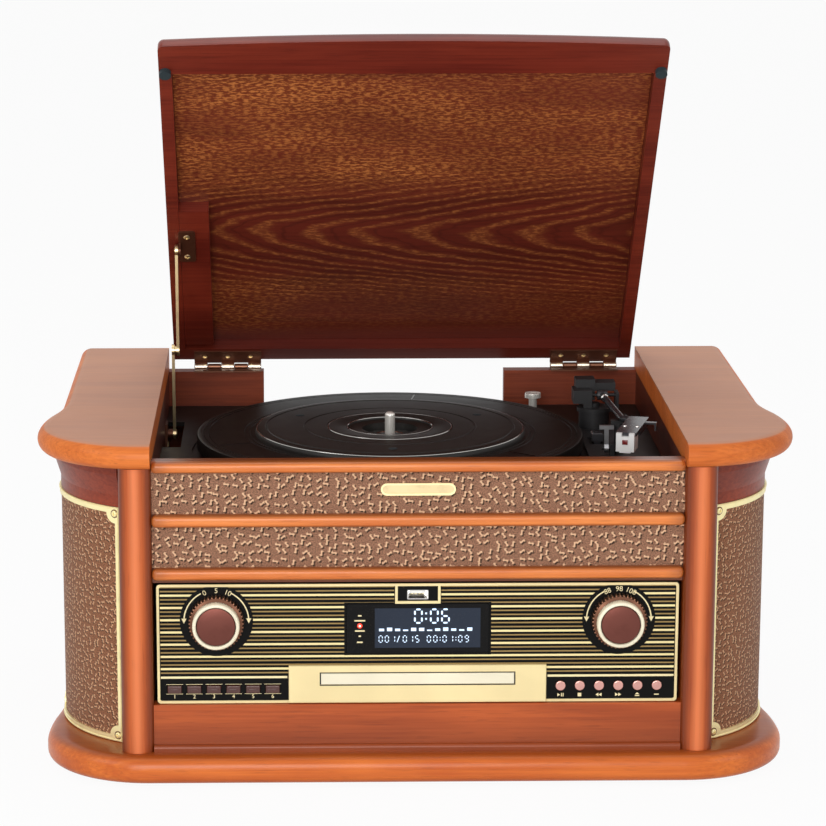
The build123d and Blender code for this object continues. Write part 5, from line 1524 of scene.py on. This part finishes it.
@dataclass
class Display(Assembly):
    """The black window: a blue panel of numbers, a lamp column and a level meter."""

    left: float = -28.4
    right: float = 41.5
    low: float = 91.5
    high: float = 118.6
    print_rise: float = 0.08
    rows: tuple[tuple[str, float, float, float, float], ...] = (
        ("0:06", -1.9, 108.6, 9.2, 7.4), ("001/015", -25.6, 95.4, 4.4, 4.1), ("00:01:09", 6.3, 95.4, 4.4, 4.3))
    level_x: float = -25.6
    level_z: float = 103.0
    level_pitch: float = 5.3
    level_width: float = 3.4
    levels: int = 12
    lamp_x: float = -38.3
    lamp_z: float = 106.7
    core_sides: int = 20
    ticks: tuple[tuple[float, float], ...] = ((113.6, 1.2), (110.2, 3.6), (103.2, 3.2), (99.6, 0.8), (95.4, 1.9))

    def row(self, text: str, x: float, z: float, height: float, pitch: float, face: float) -> list[Piece]:
        """Makes a row of seven-bar figures.

        Args:
            text: Digits, colons and slashes.
            x: Left end of the row.
            z: Lower edge of the figures.
            height: Their height.
            pitch: Step from one figure to the next.
            face: The face they stand on.

        Returns:
            The bars.
        """
        width, thick = height * 0.5, height * 0.13
        shapes: list[Outline] = []

        def lit(long: float) -> Outline:
            """Gives a bar with pointed ends.

            Args:
                long: Its length.

            Returns:
                Its corners, along it and across it.
            """
            tip, half = thick * 0.6, thick / 2
            return [(tip, 0), (thick, half), (long - thick, half), (long - tip, 0), (long - thick, -half),
                    (thick, -half)]

        for mark in text:
            for name in LIT_BARS.get(mark, ""):
                if name in FLAT_BARS:
                    shapes.append([(x + u, z + FLAT_BARS[name] * height + v) for u, v in lit(width)])
                else:
                    right, up = UPRIGHT_BARS[name]
                    shapes.append([(x + right * width + v, z + up * height + u) for u, v in lit(height / 2)])
            if mark == ":":
                for middle in (z + 0.3 * height, z + 0.7 * height):
                    half = thick / 2
                    shapes.append(bar(x - half, x + half, middle - half, middle + half))
            elif mark == "/":
                lean = x + width * 0.7
                shapes.append([(x - thick, z), (x, z), (lean, z + height), (lean - thick, z + height)])
            x += pitch * {":": 0.42, "/": 0.9}.get(mark, 1.0)
        return [Bench.flat("bar", shape, face, self.print_rise) for shape in shapes]

    def build(self) -> None:
        """Makes the panel, its figures and the lamps."""
        self.dress(BLACK_GLOSS, "display_window")
        window = self.front_of("display_window")
        face = window - 0.12
        self.add(Bench.block("display_panel", (self.left, face, self.low), (self.right, window + 0.3, self.high),
                             0.05), LCD_BLUE)
        parts = []
        for text, x, z, height, pitch in self.rows:
            parts += self.row(text, x, z, height, pitch, face)
        for number in range(self.levels):
            x = self.level_x + number * self.level_pitch
            rise = 0.6 + 1.8 * abs(math.sin(0.9 * number + 0.7))
            parts.append(Bench.block("level", (x, face - self.print_rise, self.level_z),
                                     (x + self.level_width, face + 0.05, self.level_z + rise), 0.03))
        self.add(Bench.join(parts, "display_figures"), LCD_DIGIT)
        spot = stand(self.lamp_x, window + 0.02, self.lamp_z, Facing.FRONT)
        lamp = Bench.turned("display_lamp", [(1.7, 0.0), (1.7, 0.2), (1.3, 0.5), (0.4, 0.65)], FEW_SIDES)
        self.add(Bench.place(lamp, spot), RED_LAMP)
        core = Bench.turned("display_lamp_core", [(0.75, 0.4), (0.75, 0.66), (0.5, 0.8), (0.1, 0.84)],
                            self.core_sides)
        self.add(Bench.place(core, spot), LAMP_CORE)
        ticks = [Bench.block("tick", (self.lamp_x - half, window - 0.1, z - 0.5),
                             (self.lamp_x + half, window + 0.05, z + 0.5), 0.04) for z, half in self.ticks]
        self.add(Bench.join(ticks, "display_ticks"), CREAM_INK)


@dataclass
class DiscDrawer(Assembly):
    """The disc drawer and the works behind it."""

    line: float = 0.55
    gap: float = 0.35

    def build(self) -> None:
        """Dresses the drawer and draws the dark line round its mouth."""
        self.dress(PALE_CREAM, "cd_tray")
        self.dress(MATT_BLACK, "cd_mechanism")
        face, line = self.front_of("fascia_trim"), self.line
        low, high = (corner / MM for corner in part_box("cd_tray"))
        left, right, under, over = low.x - self.gap, high.x + self.gap, low.z - self.gap, high.z + self.gap
        sides = ((left - line, right + line, under - line, under), (left - line, right + line, over, over + line),
                 (left - line, left, under, over), (right, right + line, under, over))
        made = [Bench.block("mouth_line", (start, face - 0.06, foot), (end, face + 0.3, head), 0.03)
                for start, end, foot, head in sides]
        self.add(Bench.join(made, "drawer_mouth"), MATT_BLACK)


def groove(radius: float, top: float, wide: float, narrow: float, depth: float) -> list[tuple[float, float]]:
    """The profile of a round groove, from its outer edge to its inner one."""
    return [(radius + wide, top), (radius + narrow, top - depth), (radius - narrow, top - depth), (radius - wide, top)]


@dataclass
class RecordDeck(Assembly):
    """The record deck: grooved platter, spindle, transit screw and drive."""

    x: float = -13.9
    y: float = 9.0
    rim_radius: float = 135.7
    rim_inner: float = 90.0
    rim_wall: float = 3.3
    rim_top: float = 203.0
    rim_low: float = 193.5
    floor: float = 199.0
    hub_radius: float = 40.0
    hub_low: float = 196.0
    hole_radius: float = 4.6
    plateau_radius: float = 94.0
    plateau_top: float = 206.8
    rim_grooves: tuple[float, ...] = (131.0, 127.5, 102.0, 98.6)
    plateau_grooves: tuple[float, ...] = (87.0, 60.0, 44.0)
    pad_circle: float = 73.0
    pad_angles: tuple[float, ...] = (30, 150, 270)
    rib_angles: tuple[float, ...] = (80, 200, 320)
    sides: int = 144

    def build(self) -> None:
        """Dresses the deck and replaces the platter by a grooved one."""
        self.dress(BLACK_DECK, "deck_plate")
        self.dress(SATIN_CHROME, "spindle", "transit_screw")
        self.dress(STEEL, "drive_motor", "motor_pulley", "power_transformer")
        self.dress(RUBBER, "drive_belt")
        self.dress(BOARD_GREEN, "main_board")
        spot = stand(self.x, self.y, 0)
        rim, top, edge, floor = self.rim_top, self.plateau_top, self.plateau_radius, self.floor
        wall = self.rim_radius - self.rim_wall
        outer = [(self.rim_inner, floor), (wall - 0.4, floor), (wall, self.rim_low), (self.rim_radius, self.rim_low),
                 (self.rim_radius, rim - 1.4), (self.rim_radius - 0.5, rim - 0.4), (self.rim_radius - 1.6, rim)]
        for radius in self.rim_grooves:
            outer += groove(radius, rim, 0.5, 0.2, 0.45)
        outer += [(edge, rim), (self.rim_inner, rim)]
        self.add(Bench.place(Bench.turned("platter_rim", outer, self.sides, closed=True), spot), BLACK_DECK,
                 "platter_body", "platter")
        disc = [(edge + 1.0, rim - 0.6), (edge + 0.9, rim + 0.8), (edge - 0.1, top - 1.0), (edge - 1.2, top - 0.2),
                (edge - 2.6, top)]
        for radius in self.plateau_grooves:
            disc += groove(radius, top, 0.9, 0.4, 0.5)
        disc += [(30.6, top), (29.8, top - 0.4), (29.3, top - 1.4), (19.4, top - 1.7), (19.0, floor + 0.2),
                 (18.4, floor), (self.hole_radius, floor), (self.hole_radius, self.hub_low),
                 (self.hub_radius, self.hub_low), (self.hub_radius, floor + 1.0), (edge + 1.0, floor + 1.0)]
        self.add(Bench.place(Bench.turned("platter_plateau", disc, self.sides, closed=True), spot), SATIN_BLACK,
                 "platter_body")
        pad = Bench.turned("pad", [(3.2, top - 0.3), (3.2, top + 0.05), (2.9, top + 0.2), (0.5, top + 0.22)],
                           SOME_SIDES)
        turns = [math.radians(angle) for angle in self.pad_angles]
        places = [stand(self.x + self.pad_circle * math.cos(turn), self.y + self.pad_circle * math.sin(turn), 0)
                  for turn in turns]
        self.add(Bench.scatter(pad, "platter_pads", places), RUBBER, "platter_body")
        rings = [Bench.turned("edge_ring", [(radius - 0.55, height - 0.3), (radius - 0.3, height + 0.1),
                                            (radius + 0.3, height + 0.1), (radius + 0.55, height - 0.3)],
                              self.sides, closed=True)
                 for radius, height in ((edge - 0.5, top - 0.5), (43.4, top), (30.0, top))]
        rings.append(Bench.turned("seat_ring", [(9.4, 198.8), (9.4, 200.2), (10.0, 200.8), (16.4, 200.8),
                                                (17.0, 200.2), (17.0, 198.8)], MANY_SIDES, closed=True))
        self.add(Bench.place(Bench.join(rings, "platter_edge_rings"), spot), EDGE_SHINE, "platter_body")
        rib = Bench.block("rib", (103.5, -0.5, rim - 0.3), (126.0, 0.5, rim + 0.25), 0.15)
        self.add(Bench.scatter(rib, "platter_ribs", [spot @ spin(angle, "Z") for angle in self.rib_angles]),
                 BLACK_GLOSS, "platter_body")


@dataclass
class Tonearm(Assembly):
    """The tonearm's dress and its fine parts: bearing and headshell screws, stylus block, leads and collar."""

    pivot: tuple[float, float, float] = (141.7, 75.0, 214.5)
    bend: tuple[float, float, float] = (147.0, -17.0, 216.9)
    shell_rear: tuple[float, float] = (157.0, -31.0)
    shell_front: tuple[float, float] = (142.9, -82.0)
    shell_top: float = 221.3
    tube_radius: float = 2.1
    collar_reach: float = 12.0
    leads: tuple[float, ...] = (-3.6, -1.2, 1.2, 3.6)
    lead_radius: float = 0.35
    lead_sides: int = 8
    bearing_screw: tuple[float, float] = (2.6, 0.8)
    shell_screw: tuple[float, float] = (1.3, 0.6)

    def build(self) -> None:
        """Dresses the arm and adds its fine parts."""
        self.dress(MATT_BLACK, "tonearm_base", "tonearm_turret")
        self.dress(ARM_GREY, "tonearm", "speed_selector")
        self.dress(WHITE_PART, "cartridge")
        self.dress(STEEL, "cue_lever")
        x, y, z = self.pivot
        bearing = stand(x + 11.7, y + 1.0, z, Facing.RIGHT)
        self.add(Bench.screws("bearing_screw", *self.bearing_screw, [bearing]), CHROME, "turret")
        self.headshell()
        thin, thick = self.tube_radius + 0.4, self.tube_radius + 0.8
        collar = Bench.turned("arm_collar", [(thin, -2.2), (thick, -1.8), (thick, 1.8), (thin, 2.2)], SOME_SIDES)
        heading = (at(*self.bend) - at(*self.pivot)).normalized()
        spot = Matrix.Translation(at(*self.pivot) + heading * self.collar_reach * MM)
        self.add(Bench.place(collar, spot @ Bench.towards(heading)), CHROME, "arm")

    def headshell(self) -> None:
        """Adds the headshell's screws, stylus block and leads, placed from its rear top edge."""
        turn = math.atan2(self.shell_front[0] - self.shell_rear[0], self.shell_rear[1] - self.shell_front[1])
        shell = stand(*self.shell_rear, self.shell_top) @ spin(math.degrees(turn), "Z")
        length = math.dist(self.shell_rear, self.shell_front)
        tops = [shell @ stand(x, -length * 0.62, 0.0) for x in (-4.2, 4.2)]
        self.add(Bench.screws("headshell_screws", *self.shell_screw, tops), CHROME, "arm")
        block = Bench.block("stylus_block", (-1.9, -length - 4.4, -7.6), (1.9, -length - 2.6, -4.4), 0.3, 2)
        self.add(Bench.place(block, shell), DARK_RED, "arm")
        wires = [Bench.wire("lead", [(x * 0.8, -length * 0.86, -3.2), (x, -length * 0.7, -4.4),
                                     (x * 0.8, -length * 0.45, -4.2), (x * 0.4, -length * 0.12, -3.0)],
                            self.lead_radius, self.lead_sides) for x in self.leads]
        self.add(Bench.place(Bench.join(wires, "pickup_leads"), shell), BRASS, "arm")


@dataclass
class Lid(Assembly):
    """The lid, its arched veneer, bumpers, stay and hinges."""

    hinge_middles: tuple[float, float] = (-131.0, 136.0)
    hinge_half: float = 25.0
    knuckle_pitch: float = 10.0
    knuckles: int = 5
    screw_pitch: float = 17.0
    screw_radius: float = 1.9
    screw_rise: float = 0.35
    deck_leaf: tuple[float, float] = (158.4, 217.2)
    lid_leaf: tuple[float, float] = (-7.5, 3.6)
    upper_pivot: tuple[float, float] = (76.83, 321.09)
    foot: tuple[float, float] = (90.0, 184.0)
    plate_screws: tuple[tuple[float, float, float], ...] = ((-157.4, -124.5, 3.1), (-157.4, -146.0, 3.1))
    wall_screws: tuple[tuple[float, float, float], ...] = ((-173.4, 86.0, 175.5), (-173.4, 94.0, 175.5))
    plate_screw: tuple[float, float] = (2.3, 0.6)
    wall_screw: tuple[float, float] = (1.8, 0.6)
    rivet: float = 3.0

    def build(self) -> None:
        """Dresses the lid and its fittings and adds their screws, knuckles and rivets."""
        self.dress(LID_WOOD, "lid_shell", "stay_block")
        self.dress(LID_VENEER, "lid_panel")
        self.dress(RUBBER, "lid_bumpers")
        # The hinge leaves' dark bronze is partly painted shade, for the shadow they sit in under the lid.
        self.dress(BRONZE, "deck_hinge_leaves", "lid_hinge_leaves", "stay_lid_bracket", "stay_body_bracket")
        self.dress(BRASS, "stay_upper_arm", "stay_lower_arm")
        self.hinges()
        for name, node, spot, body in (("stay_rivet_upper", "stay_upper_arm", self.upper_pivot, "stay_upper"),
                                       ("stay_rivet_foot", "stay_lower_arm", self.foot, "stay_lower")):
            radius = self.rivet
            head = Bench.turned(name, [(radius, -0.2), (radius, 0.3), (radius * 0.85, 0.7), (radius * 0.5, 1.0),
                                       (0.2, 1.1)], FEW_SIDES)
            self.add(Bench.place(head, stand(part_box(node)[1].x / MM, *spot, Facing.RIGHT)), BRASS, body)
        plate = [LID_PLANE @ stand(*place, Facing.DOWN) for place in self.plate_screws]
        self.add(Bench.screws("stay_plate_screws", *self.plate_screw, plate), BRASS, "lid")
        wall = [stand(*place, Facing.RIGHT) for place in self.wall_screws]
        self.add(Bench.screws("stay_wall_screws", *self.wall_screw, wall), BRASS)

    def hinges(self) -> None:
        """Screws both leaves of both hinges down and rounds their knuckles."""
        rows = [middle + step for middle in self.hinge_middles for step in (-self.screw_pitch, 0.0, self.screw_pitch)]
        deck = [stand(x, *self.deck_leaf) for x in rows]
        self.add(Bench.screws("deck_hinge_screws", self.screw_radius, self.screw_rise, deck), BRONZE)
        lid = [LID_PLANE @ stand(x, *self.lid_leaf, Facing.DOWN) for x in rows]
        self.add(Bench.screws("lid_hinge_screws", self.screw_radius, self.screw_rise, lid), BRASS, "lid")
        for body, first, finish in (("lid", 0, KNUCKLE), ("cabinet", 1, COPPER)):
            sleeve = Bench.turned("knuckle", [(1.8, 0.15), (2.25, 0.5), (2.25, 9.3), (1.8, 9.65)], FEW_SIDES)
            spots = [stand(middle - self.hinge_half + self.knuckle_pitch * number + 0.1, HINGE_Y, HINGE_Z,
                           Facing.RIGHT)
                     for middle in self.hinge_middles for number in range(first, self.knuckles, 2)]
            self.add(Bench.scatter(sleeve, f"{body}_hinge_knuckles", spots), finish, body)


@dataclass
class Badge(Assembly):
    """A plain gilt plaque with a raised rim on the upper cloth."""

    half_width: float = 24.6
    middle: float = 199.5
    half_height: float = 4.1
    rim: float = 1.1
    steps: int = 10

    def build(self) -> None:
        """Makes the plaque and its rim."""
        face = self.front_of("front_cloths")
        outline = []
        for side in (1, -1):
            for step in range(self.steps + 1):
                turn = side * (math.pi / 2 - math.pi * step / self.steps)
                reach = self.half_width - self.half_height + self.half_height * abs(math.cos(turn))
                outline.append((side * reach, self.middle + self.half_height * math.sin(turn)))
        self.add(Bench.flat("plaque_plate", outline, face + 0.1, 0.6), BRASS)
        across, up = 1 - self.rim / self.half_width, 1 - self.rim / self.half_height
        inner = [(x * across, self.middle + (z - self.middle) * up) for x, z in outline]
        rim = Bench.flat("plaque_rim", outline, face - 0.4, 0.6)
        Bench.carve(rim, Bench.flat("plaque_hollow", inner, face + 0.5, 2.5))
        self.add(Bench.settle(rim, "plaque_rim"), GILT)


@dataclass
class RearPanel(Assembly):
    """The socket plate at the back, with sleeves, washers, a hexagonal nut and screws."""

    plate: float = 158.0
    row: float = 88.0
    left: float = -36.0
    right: float = -20.0
    line_end: float = 166.0
    line_radius: float = 4.15
    jack_x: float = 2.0
    sleeve_sides: int = 40
    nut_sides: int = 6
    screw: tuple[float, float] = (2.2, 0.9)
    screw_columns: tuple[float, float] = (-56.0, 56.0)
    screw_rows: tuple[float, float] = (67.0, 99.0)

    def build(self) -> None:
        """Dresses the plate and adds its fine parts."""
        self.dress(MATT_BLACK, "rear_sockets")
        inner = self.line_radius + 0.05
        tube, flange = inner + 0.3, inner + 1.85
        for name, x, finish in (("left", self.left, WHITE_PART), ("right", self.right, DARK_RED)):
            sleeve = Bench.turned(f"line_sleeve_{name}", [
                (inner, 0.0), (flange, 0.0), (flange, 0.9), (inner + 0.85, 1.5), (tube, 1.8), (tube, 7.6),
                (inner, 7.8)], self.sleeve_sides, closed=True)
            self.add(Bench.place(sleeve, stand(x, self.plate, self.row, Facing.BACK)), CHROME)
            washer = Bench.turned(f"line_washer_{name}", [
                (1.8, -0.3), (1.8, 0.3), (2.0, 0.45), (3.3, 0.45), (3.5, 0.3), (3.5, -0.3)], SOME_SIDES, closed=True)
            self.add(Bench.place(washer, stand(x, self.line_end - 0.46, self.row, Facing.BACK)), finish)
        nut = Bench.turned("jack_nut", [(4.3, 0.0), (6.2, 0.0), (6.2, 1.6), (5.8, 2.0), (4.3, 2.0)],
                           self.nut_sides, closed=True)
        self.add(Bench.place(nut, stand(self.jack_x, self.plate, self.row, Facing.BACK)), STEEL)
        spots = [stand(x, self.plate, z, Facing.BACK) for x in self.screw_columns for z in self.screw_rows]
        self.add(Bench.screws("rear_plate_screws", *self.screw, spots), STEEL)


@dataclass
class Studio:
    """Floor, world, lamps and camera, in metres."""

    world_level: float = 0.30
    floor_side: float = 16.0
    floor_tone: Colour = (0.86, 0.86, 0.86)
    floor_white: float = 0.94
    lamps: tuple[tuple[str, tuple[float, float, float], float, float], ...] = (
        ("key_lamp", (-0.35, -2.35, 0.70), 1.1, 27.0), ("left_lamp", (-1.9, -1.3, 1.5), 1.2, 12.0),
        ("right_lamp", (2.0, -1.3, 1.1), 1.4, 8.0), ("top_lamp", (0.0, 0.3, 2.3), 1.5, 12.0))
    aim: tuple[float, float, float] = (0.0, 0.0, 0.15)
    camera_place: tuple[float, float, float] = (-0.07872, -2.16046, 0.68179)
    camera_turn: tuple[float, float, float] = (90 - 12.817, 0.054, -0.902)
    lens: float = 137.61
    shift: tuple[float, float] = (0.0815, 0.0469)

    def build(self) -> None:
        """Sets up everything that isn't the object."""
        self.floor()
        self.world()
        for name, place, size, power in self.lamps:
            self.lamp(name, place, size, power)
        self.camera()
        bpy.context.scene.view_settings.view_transform = "Standard"

    def floor(self) -> None:
        """Lays a plain pale floor that keeps the object's shadow."""
        Bench.clear()
        bpy.ops.mesh.primitive_plane_add(size=self.floor_side)
        ground = bpy.context.object
        ground.name = "studio_floor"
        made = bpy.data.materials.new("floor_white")
        made.use_nodes = True
        tree = Tree(made.node_tree)
        plain = tree.node("BsdfPrincipled", {"Base Color": self.floor_tone, "Roughness": 0.7})
        glow = tree.node("Emission", {"Color": (1.0, 1.0, 1.0), "Strength": 1.0})
        mixed = tree.node("MixShader", {0: tree.seen() * self.floor_white, 1: plain.outputs[0], 2: glow.outputs[0]})
        tree.node("OutputMaterial", {"Surface": mixed.outputs[0]})
        ground.data.materials.append(made)

    def world(self) -> None:
        """Makes the world a plain light, seen as white."""
        world = bpy.data.worlds.new("studio_world")
        world.use_nodes = True
        bpy.context.scene.world = world
        tree = Tree(world.node_tree)
        light = tree.node("Background", {"Color": (1.0, 1.0, 1.0), "Strength": self.world_level})
        white = tree.node("Background", {"Color": (1.0, 1.0, 1.0), "Strength": 1.0})
        mixed = tree.node("MixShader", {0: tree.seen(), 1: light.outputs[0], 2: white.outputs[0]})
        tree.node("OutputWorld", {"Surface": mixed.outputs[0]})

    def lamp(self, name: str, place: Point, size: float, power: float) -> None:
        """Hangs a square lamp that points at the object.

        Args:
            name: Its name.
            place: Where it hangs.
            size: Its side.
            power: Its power, in watts.
        """
        Bench.clear()
        bpy.ops.object.light_add(type="AREA", location=place)
        lamp = bpy.context.object
        lamp.name, lamp.data.size, lamp.data.energy = name, size, power
        lamp.rotation_euler = (Vector(self.aim) - Vector(place)).to_track_quat("-Z", "Y").to_euler()

    def camera(self) -> None:
        """Sets the camera in front and a little above."""
        Bench.clear()
        bpy.ops.object.camera_add(location=self.camera_place)
        camera = bpy.context.object
        camera.name = "studio_camera"
        camera.rotation_euler = [math.radians(angle) for angle in self.camera_turn]
        camera.data.sensor_width = 36.0
        camera.data.lens = self.lens
        camera.data.shift_x, camera.data.shift_y = self.shift
        bpy.context.scene.camera = camera


def main() -> None:
    """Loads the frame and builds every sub-assembly."""
    logging.basicConfig(level=logging.INFO, format="%(message)s")
    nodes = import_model()["nodes"]
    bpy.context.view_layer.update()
    fascia = Fascia(nodes)
    left, right = (stand(x, fascia.face, fascia.knob_z, Facing.FRONT) for x in (-fascia.knob_x, fascia.knob_x))
    assemblies: list[Assembly] = [
        Cabinet(nodes), LoudspeakerBays(nodes), fascia, Buttons(nodes, fascia),
        Knob(nodes, "volume_knob", "volume", left), Knob(nodes, "tuning_knob", "tuning", right), Display(nodes),
        DiscDrawer(nodes), RecordDeck(nodes), Tonearm(nodes), Lid(nodes), Badge(nodes), RearPanel(nodes)]
    for assembly in assemblies:
        assembly.build()
        for name in assembly.made:
            log.info("%s: %s", type(assembly).__name__, name)
    Studio().build()


if __name__ == "__main__":
    main()
